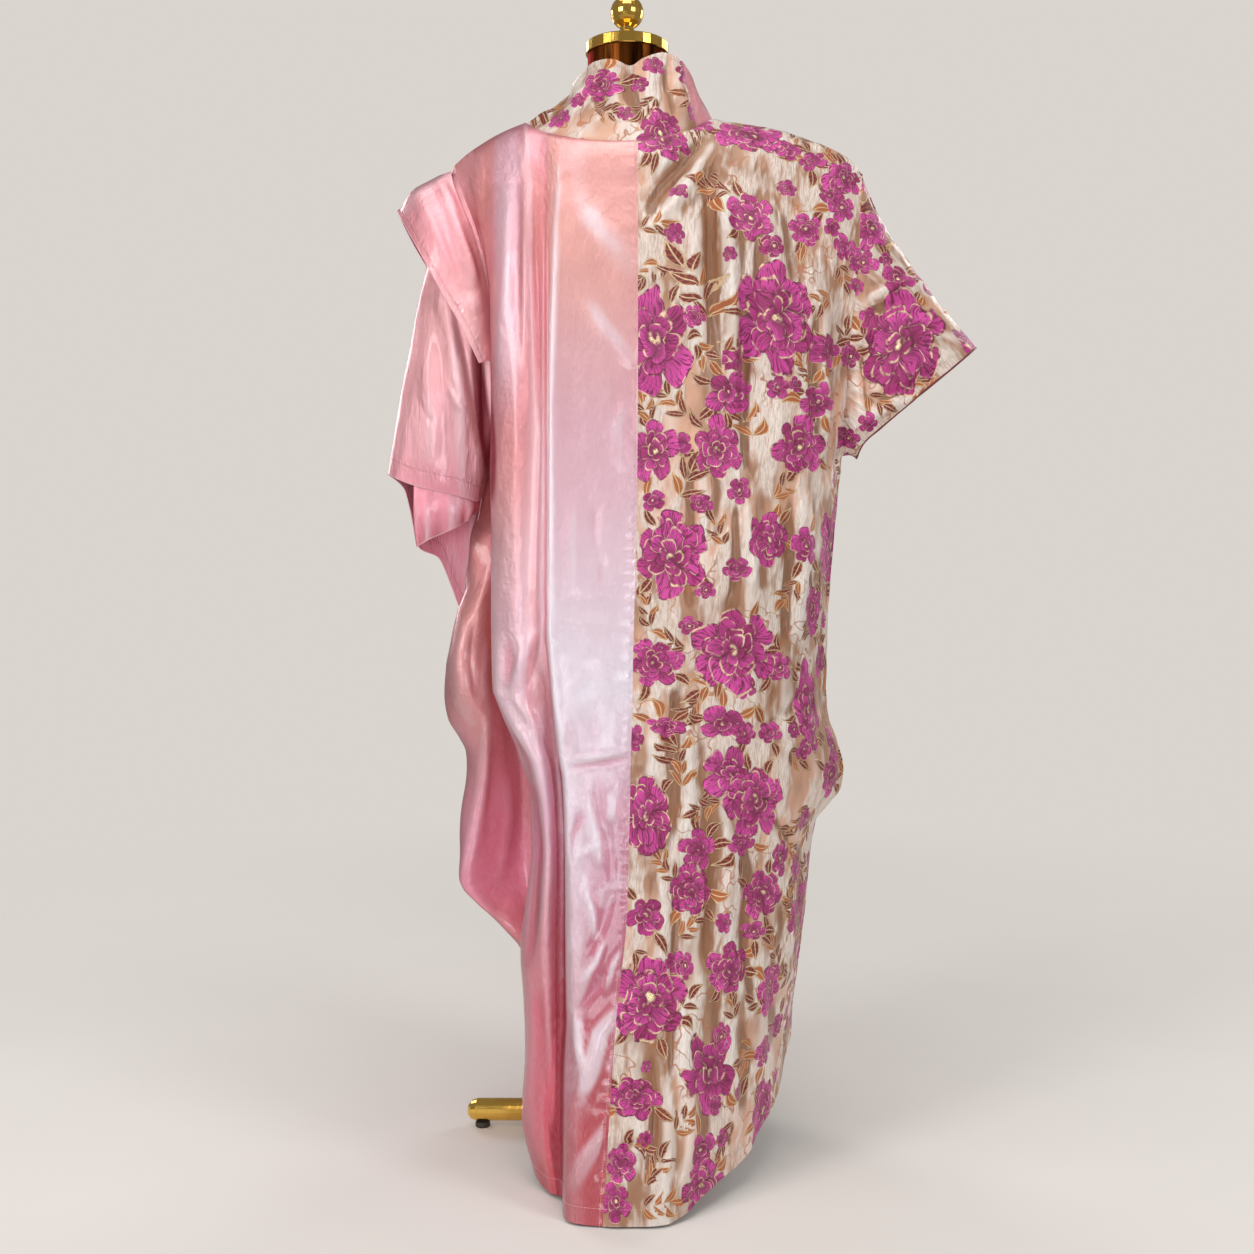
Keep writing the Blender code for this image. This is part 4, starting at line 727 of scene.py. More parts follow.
def creaseHeight(table, points, normals, side, sharp=4.0):
    across, down, scale = seenAt(points, side)
    facing = np.clip(-normals[..., 1] * side * sharp, 0.0, 1.0)
    total = np.zeros(across.shape)
    for path, width, height in table:
        best = np.full(across.shape, 1e9)
        share = np.zeros(across.shape)
        lengths = [math.dist(a, b) for a, b in zip(path, path[1:])]
        done, whole = 0.0, sum(lengths)
        for (a, b), length in zip(zip(path, path[1:]), lengths):
            along = ((across - a[0]) * (b[0] - a[0]) + (down - a[1]) * (b[1] - a[1])) / length ** 2
            inside = np.clip(along, 0.0, 1.0)
            away = (across - a[0] - inside * (b[0] - a[0])) ** 2 + (down - a[1] - inside * (b[1] - a[1])) ** 2
            nearer = away < best
            best = np.where(nearer, away, best)
            share = np.where(nearer, (done + inside * length) / whole, share)
            done += length
        taper = np.sin(np.pi * np.clip(share * 0.92 + 0.04, 0.0, 1.0)) ** 0.6
        total += height * taper * np.exp(-best / width ** 2)
    return total * facing * 0.001


# Deep shade where the left sleeve hangs close to the body, with a strength in place of the height
nooks = {"left_sleeve": [([(474, 336), (480, 385), (485, 430), (488, 476)], 7.0, 1.5)],
         "back_satin": [([(480, 340), (486, 400), (490, 450), (491, 505)], 6.0, 1.4)]}
creaseGain = {"back_satin": 2.0, "back_brocade": 2.6, "right_sleeve": 2.0, "front_brocade": 2.0,
              "collar": 1.7}
plainGain = 1.4  # for the pieces that aren't named there


def ripple(points, size, stretch, seed):
    # smooth seeded relief, longer up and down than across
    flat = points.reshape(-1, 3)
    out = np.empty(len(flat))
    for index, (x, y, z) in enumerate(flat):
        out[index] = noise.noise(Vector((x / size + seed, y / size - seed, z / size / stretch)))
    return out.reshape(points.shape[:-1])


# Wide and fine relief in metres, each with the size of its waves and how far they are drawn out
relief = {
    "back_satin": (0.0016, 0.050, 2.6, 0.0003, 0.014, 1.6),
    "side_satin": (0.0040, 0.042, 2.6, 0.0004, 0.014, 1.6),
    "front_satin": (0.0040, 0.048, 3.0, 0.0004, 0.014, 1.6),
    "left_sleeve": (0.0026, 0.038, 2.2, 0.0004, 0.013, 1.5),
    "left_cap": (0.0016, 0.034, 1.6, 0.0003, 0.013, 1.4),
    "back_brocade": (0.0052, 0.040, 3.2, 0.0012, 0.012, 2.2),
    "front_brocade": (0.0052, 0.042, 3.2, 0.0012, 0.013, 2.2),
    "right_sleeve": (0.0028, 0.032, 1.8, 0.0011, 0.011, 1.6),
    "collar": (0.0022, 0.022, 1.5, 0.0007, 0.009, 1.3),
    "collar_facing": (0.0008, 0.020, 1.4, 0.0002, 0.009, 1.2),
}
# Rows from a piece's first row over which the relief grows, and its share at the first
firstRows = {"collar": (6, 0.0), "collar_facing": (6, 0.0), "left_cap": (8, 0.0), "left_sleeve": (8, 0.15),
             "right_sleeve": (8, 0.15)}
neckRows = 14  # rows below the neck and shoulder over which a panel's relief dies out
puckers = {"pitch": 0.019, "high": 0.0009, "reach": 0.011, "seam": 0.003, "groove": 0.0008}


def puckerSeam(grid, height):
    # adds small uneven puckers along the centre seam, and the groove of the seam itself
    away = np.linalg.norm(grid - grid[:, :1], axis=2)
    level = grid[..., 2]
    wave = np.sin(level * 2 * math.pi / puckers["pitch"] + 2.4 * np.sin(level * 31.0))
    wave = wave * (0.6 + 0.4 * np.sin(level * 17.0))
    near = np.exp(-(away / puckers["reach"]) ** 2)
    height += puckers["high"] * wave * near * np.clip(away / puckers["seam"], 0.0, 1.0)
    height -= puckers["groove"] * np.exp(-(away / puckers["seam"]) ** 2)


def edgeFade(name, grid):
    fade = np.ones((len(grid), 1))
    if name in firstRows:
        rows, least = firstRows[name]
        fade[:, 0] = np.clip(np.arange(len(grid)) / rows, least, 1)
    else:
        fade[-neckRows:, 0] = np.linspace(1.0, 0.1, neckRows)
    return fade


normals = bodyNormals()
moved, creased, shaded = {}, {}, {}
for seed, (name, grid) in enumerate(sorted(grids.items())):
    wide, wideSize, wideLong, fine, fineSize, fineLong = relief[name]
    height = creaseHeight(creases.get(name, []), grid, normals[name], 1.0)
    height += creaseHeight(frontCreases.get(name, []), grid, normals[name], -1.0)
    creased[name] = height * 1000.0
    shaded[name] = creaseHeight(nooks.get(name, []), grid, normals[name], 1.0, 30.0) * 1000.0
    height *= creaseGain.get(name, plainGain)
    height += (ripple(grid, wideSize, wideLong, 3.1 * seed) * wide
               + ripple(grid, fineSize, fineLong, 5.3 * seed) * fine)
    if name in ("back_satin", "back_brocade"):
        puckerSeam(grid, height)
    moved[name] = grid + normals[name] * (height * edgeFade(name, grid))[..., None]
joined = sharedMean(np.concatenate([moved[name].reshape(-1, 3) for name in bodyNames]), groups)
grids.update(bodyParts(joined))
grids["left_cap"] = moved["left_cap"]
normals = bodyNormals()
print("creases laid")

# Turned-back flap that shows below the left sleeve's hem: its lower edge in the photo's frame
turnBack = {"from": 412.0, "to": 487.0, "rows": 24, "columns": 60, "inset": 0.0035, "curl": 0.007,
            "fold": 0.0022, "overlap": 0.006,
            "low": ((412, 430, 450, 470, 482, 487), (547, 539, 531, 522, 515, 508))}
hemRow, hemNormal = grids["left_sleeve"][-1], normals["left_sleeve"][-1]
seenX = seenAt(hemRow, 1.0)[0]
within = (seenX > turnBack["from"]) & (seenX < turnBack["to"])
shown = np.flatnonzero((hemNormal[:, 1] < -0.05) & (hemRow[:, 1] < 0.0) & within)
shown = shown[np.argsort(seenX[shown])]
flap = np.zeros((turnBack["rows"] + 1, turnBack["columns"] + 1, 3))
for column in range(turnBack["columns"] + 1):
    at = column / turnBack["columns"] * (len(shown) - 1)
    place = np.arange(len(shown))
    top = np.array([np.interp(at, place, hemRow[shown, axis]) for axis in range(3)])
    out = np.array([np.interp(at, place, hemNormal[shown, axis]) for axis in range(3)])
    x, y, scale = seenAt(top, 1.0)
    drop = (float(np.interp(x, *turnBack["low"])) - float(y)) * float(scale)
    for row in range(turnBack["rows"] + 1):
        share = row / turnBack["rows"]
        wave = turnBack["fold"] * math.sin(column * 0.42 + 2.0 * math.sin(column * 0.11)) * share
        lift = turnBack["curl"] * math.sin(math.pi * share) * (0.4 + 0.6 * share) - turnBack["inset"]
        flap[row, column] = top - out * (turnBack["curl"] * share) + out * (lift + wave) \
            + np.array((0.0, 0.0, turnBack["overlap"] * (1 - share) - drop * share))
grids["sleeve_turn"] = flap
flapNormal = gridNormals(flap)
middle = (turnBack["rows"] // 2, turnBack["columns"] // 2)
normals["sleeve_turn"] = flapNormal if flapNormal[middle][1] < 0 else -flapNormal

# How far to each side a hollow is looked for, and the depth there that counts in full
hollowReaches = ((0.008, 0.0016), (0.014, 0.0032), (0.028, 0.0080))


def hollowOf(grid, normal):
    # how far each point lies below its neighbours, in shares of 1 where the cloth folds in
    total = np.zeros(grid.shape[:2])
    cell = max(1e-4, np.median(np.linalg.norm(np.diff(grid, axis=1), axis=2)))
    for reach, deep in hollowReaches:
        step = max(1, int(round(reach / cell)))
        padded = np.pad(grid, ((0, 0), (step, step), (0, 0)), mode="edge")
        mean = (padded[:, 2 * step:] + padded[:, :-2 * step]) * 0.5
        lift = ((mean - grid) * normal).sum(axis=2)
        lift[:, :step] = lift[:, -step:] = 0.0
        total += np.clip(lift / deep, -1.0, 1.0) / len(hollowReaches)
    for turn in range(3):
        padded = np.pad(total, 1, mode="edge")
        total = padded[1:-1, 1:-1] * 2 + padded[:-2, 1:-1] + padded[2:, 1:-1]
        total = (total + padded[1:-1, :-2] + padded[1:-1, 2:]) / 6
    return total


# Left edge of the flat panel in the photo: rows and columns
panelEdge = ((180, 640, 700, 760, 880, 1193), (548, 548, 552, 556, 561, 560))
panelSoft, pleatWide = 5.0, 40.0  # pixels


def panelShare(name, grid):
    # 1 on the flat panel beside the centre seam, 0 on the draped satin
    if name != "back_satin":
        return np.zeros(grid.shape[:2])
    x, y = seenAt(grid, 1.0)[:2]
    share = np.clip((x - np.interp(y, *panelEdge)) / panelSoft + 0.5, 0.0, 1.0)
    return share * share * (3 - 2 * share)


def pleatPlace(name, grid):
    # how far left of the flat panel's edge each point lies, in shares of the pleat's width
    if name != "back_satin":
        return np.full(grid.shape[:2], -1.0)
    x, y = seenAt(grid, 1.0)[:2]
    return np.clip((np.interp(y, *panelEdge) - x) / pleatWide, -1.0, 2.0)


hemStitch = {"left_sleeve": 0.022, "right_sleeve": 0.014, "left_cap": 0.008}  # stitch lines above the hems


def runLengths(grid):
    # length along each column from its first row
    steps = np.linalg.norm(np.diff(grid, axis=0), axis=2)
    return np.concatenate([np.zeros((1, grid.shape[1])), np.cumsum(steps, axis=0)], axis=0)


def edgeDistances(name, grid):
    # metres from the stitch line of the hem and from the centre seam
    far = np.ones(grid.shape[:2])
    hem = far
    if name in hemStitch:
        hem = runLengths(grid[::-1])[::-1] - hemStitch[name]
    seam = runLengths(grid.transpose(1, 0, 2)).T if name in ("back_satin", "back_brocade") else far
    return hem, seam


def isOver(name):
    # whether the rows must be turned for a face to look outwards
    raw = gridNormals(grids[name])
    middle = (raw.shape[0] // 2, raw.shape[1] // 2)
    loose = name in ("left_cap", "sleeve_turn")
    return name in turnedOver or (loose and raw[middle] @ normals[name][middle] < 0)


def placed(name, data):
    made = bpy.data.objects.new(name, data)
    bpy.context.scene.collection.objects.link(made)
    return made


def cellArea(grid):
    # sum of the cells, each from its two diagonals
    crossed = np.cross(grid[1:, 1:] - grid[:-1, :-1], grid[1:, :-1] - grid[:-1, 1:])
    return float(np.linalg.norm(crossed, axis=2).sum() / 2)


def sheetMesh(name, wall):
    # outer face, inner face and the cut edge of one piece
    grid, normal = grids[name], normals[name]
    rows, columns = grid.shape[:2]
    loop = name.endswith("sleeve")
    if loop:
        grid, normal = grid[:, :-1], normal[:, :-1]
        columns -= 1
    outer = grid.reshape(-1, 3)
    inner = outer - normal.reshape(-1, 3) * wall
    ids = np.arange(rows * columns).reshape(rows, columns)
    after = np.roll(ids, -1, axis=1) if loop else ids[:, 1:]
    here = ids if loop else ids[:, :-1]
    quads = np.stack([here[:-1], after[:-1], after[1:], here[1:]], axis=-1).reshape(-1, 4)
    flip = isOver(name)
    if flip:
        quads = quads[:, ::-1]
    rim = []
    if loop:
        border = [(np.append(row, row[0]), way) for row, way in ((ids[0], 1), (ids[-1], -1))]
    else:
        border = [(ids[0], 1), (ids[-1], -1), (ids[:, 0], -1), (ids[:, -1], 1)]
    offset = rows * columns
    for line, way in border:
        a, b = line[:-1], line[1:]
        if (way < 0) != flip:
            a, b = b, a
        rim.append(np.stack([b, a, a + offset, b + offset], axis=-1))
    rim = np.concatenate(rim)
    faces = np.concatenate([quads, quads[:, ::-1] + offset, rim])
    mesh = bpy.data.meshes.new(name)
    points = np.concatenate([outer, inner]) + np.array(poleAt)
    mesh.vertices.add(len(points))
    mesh.vertices.foreach_set("co", points.reshape(-1))
    mesh.loops.add(len(faces) * 4)
    mesh.loops.foreach_set("vertex_index", faces.reshape(-1))
    mesh.polygons.add(len(faces))
    mesh.polygons.foreach_set("loop_start", np.arange(len(faces)) * 4)
    mesh.polygons.foreach_set("loop_total", np.full(len(faces), 4))
    kinds = np.concatenate([np.zeros(len(quads)), np.ones(len(quads)), np.full(len(rim), 2)]).astype(np.int32)
    mesh.polygons.foreach_set("material_index", kinds)
    mesh.update(calc_edges=True)
    mesh.shade_smooth()
    mesh.set_sharp_from_angle(angle=math.radians(cloth["sharpEdge"]))
    made = placed(name + "_cloth", mesh)
    # pattern map in metres, u across and v along the piece
    across, along = runLengths(grid.transpose(1, 0, 2)).T, runLengths(grid)
    flat = np.stack([np.broadcast_to(across.mean(axis=0), (rows, columns)), along], axis=-1).reshape(-1, 2)
    flat = np.concatenate([flat, flat])[faces.reshape(-1)]
    layer = mesh.uv_layers.new(name="clothUV")
    layer.data.foreach_set("uv", flat.reshape(-1))
    hemAway, seamAway = edgeDistances(name, grid)
    none = np.zeros((rows, columns))
    kept = {"hollow": hollowOf(grid, normal), "panel": panelShare(name, grid),
            "pleat": pleatPlace(name, grid),
            "crease": creased.get(name, none)[:, :columns], "nook": shaded.get(name, none)[:, :columns],
            "hem": hemAway, "seam": seamAway}
    for key, values in kept.items():
        values = np.tile(values.reshape(-1), 2)
        mesh.attributes.new(key, "FLOAT", "POINT").data.foreach_set("value", values)
    sizes[name] = (float(across[:, -1].max()), float(along[-1].max()), cellArea(grid))
    return made, points, faces


def isPatterned(name):
    return name.endswith("brocade") or name in ("right_sleeve", "collar")


def wallOf(name):
    if name in ("left_sleeve", "left_cap", "sleeve_turn"):
        return cloth["sleeveWall"]
    return cloth["brocadeWall"] if isPatterned(name) else cloth["satinWall"]


sizes = {}
pieces = {name: sheetMesh(name, wallOf(name)) for name in grids}
rounded = {name: tuple(round(value, 3) for value in size) for name, size in sizes.items()}
print("cloth sizes (width, length, area):", rounded)

# Blossoms of the brocade: place in the photo's frame, half width, half height in pixels and turn in degrees
blossomsSeen = [
    (656, 343, 34, 50, 0), (777, 319, 40, 50, 10), (901, 344, 40, 49, -20), (665, 140, 27, 16, -8),
    (750, 135, 30, 23, 10), (774, 145, 15, 12, 0), (790, 151, 12, 10, 20), (813, 161, 16, 10, 25),
    (774, 168, 12, 13, 30), (787, 188, 11, 9, 0), (678, 189, 8, 8, 0), (750, 218, 22, 25, 0),
    (774, 245, 13, 13, 0), (845, 179, 20, 17, 20), (831, 194, 12, 13, 0), (842, 208, 14, 14, 0),
    (806, 230, 16, 15, 0), (833, 228, 9, 9, 0), (844, 248, 11, 13, 0), (872, 230, 20, 16, 40),
    (864, 262, 12, 13, 0), (886, 260, 8, 8, 0), (898, 279, 16, 16, 0), (857, 287, 7, 7, 0),
    (726, 390, 17, 21, 0), (760, 395, 12, 14, 0), (779, 387, 12, 12, 0), (795, 382, 8, 8, 0),
    (817, 400, 17, 16, 20), (850, 356, 9, 12, 0), (654, 451, 20, 28, 0), (680, 444, 12, 11, 0),
    (716, 446, 23, 27, 0), (799, 446, 30, 26, 0), (694, 315, 9, 10, 0), (731, 252, 8, 8, 0),
    (674, 232, 10, 12, 0), (848, 438, 10, 11, 0), (672, 555, 32, 36, 0), (768, 540, 22, 24, 0),
    (700, 505, 11, 10, 0), (735, 570, 13, 11, 0), (806, 545, 15, 17, 0), (812, 610, 16, 22, 0),
    (706, 590, 10, 9, 0), (740, 490, 12, 12, 0), (655, 500, 12, 11, 0), (690, 625, 12, 9, 0),
    (656, 664, 24, 22, 0), (735, 649, 36, 37, 0), (779, 666, 15, 14, 0), (748, 685, 11, 11, 0),
    (808, 707, 23, 42, 0), (723, 724, 21, 15, 0), (744, 735, 12, 12, 0), (667, 728, 15, 9, -10),
    (635, 739, 9, 12, 0), (769, 732, 14, 11, 0), (794, 730, 10, 9, 0), (804, 748, 11, 11, 0),
    (832, 745, 15, 17, 0), (831, 776, 17, 18, 0), (729, 774, 24, 24, 0), (754, 799, 32, 32, 0),
    (647, 816, 24, 39, 0), (698, 849, 18, 19, 0), (740, 845, 16, 12, 0), (781, 857, 13, 18, -30),
    (692, 893, 21, 24, 0), (762, 893, 24, 22, 0), (646, 916, 18, 20, 0), (754, 930, 15, 9, 0),
    (723, 922, 8, 9, 0), (685, 966, 9, 14, 0), (670, 962, 8, 10, 0), (731, 968, 23, 23, 0),
    (650, 1003, 33, 38, 0), (777, 1026, 14, 12, 0), (710, 1070, 32, 40, 20), (721, 1037, 10, 15, 0),
    (635, 1097, 23, 20, 0), (762, 1112, 22, 32, -20), (717, 1105, 9, 9, 0), (700, 1151, 19, 15, 0),
    (723, 1139, 8, 9, 0), (622, 1162, 14, 16, 0), (702, 1189, 30, 24, -10), (615, 1203, 14, 18, 0),
    (646, 1137, 7, 7, 0), (648, 1066, 6, 6, 0), (870, 318, 9, 10, 0), (868, 424, 9, 9, 0),
    (690, 74, 13, 13, 0), (602, 86, 17, 15, 0), (640, 84, 9, 8, 0), (560, 118, 12, 9, 0),
    (670, 123, 12, 11, 0), (694, 113, 9, 9, 0), (625, 112, 8, 8, 0), (578, 100, 8, 8, 0),
    (655, 66, 10, 8, 0)]
# Leaf sprays: start, end and number of leaf pairs
spraysSeen = [
    ((690, 262), (712, 322), 4), ((712, 196), (704, 168), 2), ((706, 186), (732, 190), 2),
    ((662, 222), (640, 230), 2), ((745, 345), (720, 352), 2), ((712, 362), (694, 342), 2),
    ((664, 388), (690, 416), 3), ((822, 350), (838, 372), 2), ((814, 306), (836, 296), 2),
    ((742, 414), (756, 442), 2), ((690, 470), (676, 500), 2), ((790, 480), (770, 500), 2),
    ((700, 690), (725, 676), 2), ((686, 712), (700, 700), 3), ((676, 745), (686, 790), 4),
    ((694, 810), (724, 800), 3), ((790, 824), (814, 806), 4), ((660, 858), (676, 880), 3),
    ((700, 918), (676, 938), 3), ((768, 942), (790, 986), 5), ((752, 998), (772, 1010), 2),
    ((640, 965), (632, 950), 3), ((690, 1000), (678, 1010), 1), ((744, 1050), (756, 1046), 1),
    ((690, 1118), (672, 1130), 3), ((660, 1160), (644, 1190), 4), ((640, 1144), (622, 1150), 2),
    ((732, 1000), (734, 1020), 2), ((786, 900), (800, 930), 4), ((802, 760), (782, 746), 2),
    ((668, 640), (690, 650), 2), ((846, 330), (842, 350), 2), ((920, 392), (940, 372), 2),
    ((884, 404), (866, 392), 2), ((858, 330), (876, 352), 2), ((642, 402), (652, 424), 2),
    ((560, 100), (540, 116), 2), ((612, 116), (590, 108), 3), ((640, 110), (656, 96), 3),
    ((686, 98), (704, 104), 2), ((716, 1142), (738, 1120), 3), ((670, 1204), (640, 1210), 3),
    ((786, 600), (802, 578), 3), ((646, 600), (652, 630), 3), ((714, 520), (724, 548), 3),
    ((846, 280), (838, 262), 2), ((640, 280), (664, 262), 3)]


def facingPoint(name, across, down):
    # the point of the piece that is seen there from the back, with its normal
    grid, normal = grids[name], normals[name]
    x, y, scale = seenAt(grid, 1.0)
    away = (x - across) ** 2 + (y - down) ** 2 + np.where(normal[..., 1] > -0.05, 1e6, 0.0)
    at = np.unravel_index(np.argmin(away), away.shape)
    return grid[at], normal[at], float(scale[at]), float(away[at])


def tangents(normal):
    right = np.cross(np.array((0.0, 0.0, 1.0)), -normal)
    right = right / max(np.linalg.norm(right), 1e-6)
    return right, np.cross(-normal, right) * -1.0


# How often a place is tried for the motifs that the photo doesn't show, and from which facing on
unseenTries = {"front_brocade": (900, -2.0), "right_sleeve": (260, 0.15), "collar": (160, 0.15),
               "back_brocade": (1600, -0.42)}
unseenSizes = (0.052, 0.040, 0.032, 0.026, 0.018, 0.014, 0.011)
# Seen blossoms are drawn a little larger, and kept where the piece shows this near (pixels squared)
motif = {"wider": 1.16, "higher": 1.14, "near": 40.0, "collarSize": 0.022, "leafRoom": 0.035}


def roomBeside(place, others, reach):
    # whether the place stands clear of all motifs laid so far
    return all(np.linalg.norm(place - other[0]) > reach(other) for other in others)


def motifsFor(name, dice):
    # blossoms and leaves of one brocade piece, in metres on its surface
    blossoms, leaves = [], []
    if name != "front_brocade":
        for across, down, wide, high, turn in blossomsSeen:
            point, normal, scale, away = facingPoint(name, across, down)
            if away < motif["near"]:
                blossoms.append((point, normal, wide * scale * motif["wider"], high * scale * motif["higher"],
                                 math.radians(turn)))
        for (x0, y0), (x1, y1), pairs in spraysSeen:
            point, normal, scale, away = facingPoint(name, (x0 + x1) / 2, (y0 + y1) / 2)
            if away < motif["near"]:
                leaves.append((point, normal, ((x1 - x0) * scale, (y0 - y1) * scale), pairs))
    if name in unseenTries:
        grid, normal = grids[name], normals[name]
        tries, bound = unseenTries[name]
        for attempt in range(tries):
            at = (dice.randrange(grid.shape[0]), dice.randrange(grid.shape[1]))
            size = dice.choice(unseenSizes)
            if name == "collar":
                size = min(size, motif["collarSize"])
            if normal[at][1] < bound:
                continue
            if roomBeside(grid[at], blossoms, lambda other: (size + other[2]) * 1.02):
                high, turn = size * dice.uniform(0.85, 1.2), dice.uniform(-0.6, 0.6)
                blossoms.append((grid[at], normal[at], size, high, turn))
        for attempt in range(tries // 3):
            at = (dice.randrange(grid.shape[0]), dice.randrange(grid.shape[1]))
            if normal[at][1] < bound:
                continue
            turn, length = dice.uniform(0, math.tau), dice.uniform(0.030, 0.062)
            clear = roomBeside(grid[at], blossoms, lambda other: other[2] * 0.9)
            if clear and roomBeside(grid[at], leaves, lambda other: motif["leafRoom"]):
                run = (math.cos(turn) * length, math.sin(turn) * length)
                leaves.append((grid[at], normal[at], run, dice.choice((2, 3, 4))))
    return blossoms, leaves


def singleLeaves(sprays, blossoms, dice):
    # each leaf as base point, direction, length and half width, on its spray's own tangent plane
    leaves = []
    for point, normal, (run, rise), pairs in sprays:
        right, up = tangents(normal)
        spray = math.hypot(run, rise)
        way = (right * run + up * rise) / spray
        side = np.cross(normal, way)
        size = max(0.025, min(0.044, spray / (pairs * 0.45 + 0.3)))
        for step in range(pairs):
            foot = point + way * (spray * ((step + 0.3) / pairs - 0.5))
            for hand in (-1, 1):
                lean = dice.uniform(0.45, 0.95) * hand
                axis = way * math.cos(lean) + side * math.sin(lean)
                length, width = size * dice.uniform(0.85, 1.15), size * dice.uniform(0.15, 0.22)
                leaves.append((foot, axis, normal, length, width))
        leaves.append((point + way * spray * 0.42, way, normal, size * 1.15, size * 0.25))
    for point, normal, wide, high, turn in blossoms:
        if wide < 0.022:
            continue
        right, up = tangents(normal)
        for step in range(3):
            angle = dice.uniform(0, math.tau)
            way = right * math.cos(angle) + up * math.sin(angle)
            foot = point + right * math.cos(angle) * wide * 0.78 + up * math.sin(angle) * high * 0.78
            leaves.append((foot, way, normal, dice.uniform(0.024, 0.040), dice.uniform(0.006, 0.009)))
    return leaves


def keepLayer(mesh, key, seedName, uv, seeds):
    mesh.uv_layers.new(name=key).data.foreach_set("uv", uv.reshape(-1))
    mesh.attributes.new(seedName, "FLOAT", "FACE").data.foreach_set("value", seeds)


farOff = 9.0  # map value of faces outside every motif


def addMotifs(name, dice):
    # each layer maps a face from the motif nearest to it, with one seed for each motif
    made, points, faces = pieces[name]
    mesh = made.data
    corners = (points - np.array(poleAt))[faces]
    centres = corners.mean(axis=1)
    blossoms, sprays = motifsFor(name, dice)
    leaves = singleLeaves(sprays, blossoms, dice)
    blossoms.sort(key=lambda item: -item[2])
    layers = {"bloomA": [], "bloomB": [], "bloomC": []}
    for item in blossoms:
        for held in layers.values():
            if roomBeside(item[0], held, lambda other: (max(item[2:4]) + max(other[2:4])) * 1.14):
                held.append(item)
                break
    for key, held in layers.items():
        uv = np.full((len(faces), 4, 2), farOff)
        seeds = np.zeros(len(faces))
        best = np.full(len(faces), 1.35)
        for point, normal, wide, high, turn in held:
            right, up = tangents(normal)
            e1 = (right * math.cos(turn) + up * math.sin(turn)) / wide
            e2 = (up * math.cos(turn) - right * math.sin(turn)) / high
            away = centres - point
            p, q, lift = away @ e1, away @ e2, away @ normal
            near = np.sqrt(p * p + q * q)
            pick = (near < best) & (np.abs(lift) < max(wide, high) * 0.9)
            best[pick] = near[pick]
            local = corners[pick] - point
            uv[pick] = np.stack([local @ e1, local @ e2], axis=-1)
            seeds[pick] = dice.random()
        keepLayer(mesh, key, "seed" + key[-1], uv, seeds)
    for key, held in (("leafA", leaves[0::2]), ("leafB", leaves[1::2])):
        uv = np.full((len(faces), 4, 2), farOff)
        best = np.full(len(faces), 1.6)
        seeds = np.zeros(len(faces))
        for foot, way, normal, length, width in held:
            side = np.cross(normal, way)
            away = centres - foot
            p, q, lift = away @ way / length, away @ side / width, away @ normal
            near = np.sqrt(((p - 0.5) * 2) ** 2 + (q / 1.6) ** 2)
            pick = (near < best) & (np.abs(lift) < length)
            best[pick] = near[pick]
            local = corners[pick] - foot
            uv[pick] = np.stack([local @ way / length, local @ side / width], axis=-1)
            seeds[pick] = dice.random()
        keepLayer(mesh, key, "seed" + key, uv, seeds)


dice = random.Random(11)
for name in ("back_brocade", "front_brocade", "right_sleeve", "collar"):
    addMotifs(name, dice)
print("brocade motifs laid")


# Finishes
class Thread:
    # one socket's value, so that a finish is written as sums
    def __init__(self, finish, socket):
        self.finish, self.socket = finish, socket

    def work(self, operation, *others, clamp=False):
        return self.finish.value("ShaderNodeMath", {"operation": operation, "use_clamp": clamp},
                                 dict(enumerate((self,) + others)))

    def __add__(self, other):
        return self.work("ADD", other)

    def __sub__(self, other):
        return self.work("SUBTRACT", other)

    def __mul__(self, other):
        return self.work("MULTIPLY", other)

    def __truediv__(self, other):
        return self.work("DIVIDE", other)

    def __rsub__(self, other):
        return self.finish.value("ShaderNodeMath", {"operation": "SUBTRACT"}, {0: other, 1: self})

    __radd__, __rmul__ = __add__, __mul__

    def power(self, other):
        return self.work("POWER", other)

    def size(self):
        return self.work("ABSOLUTE")

    def sine(self):
        return self.work("SINE")

    def root(self):
        return self.work("SQRT")

    def most(self, other):
        return self.work("MAXIMUM", other)

    def over(self, other):
        return self.work("GREATER_THAN", other)

    def soft(self, low, high, start=0.0, end=1.0):
        return self.finish.value("ShaderNodeMapRange", {"interpolation_type": "SMOOTHSTEP"}, {
            "Value": self, "From Min": low, "From Max": high, "To Min": start, "To Max": end})


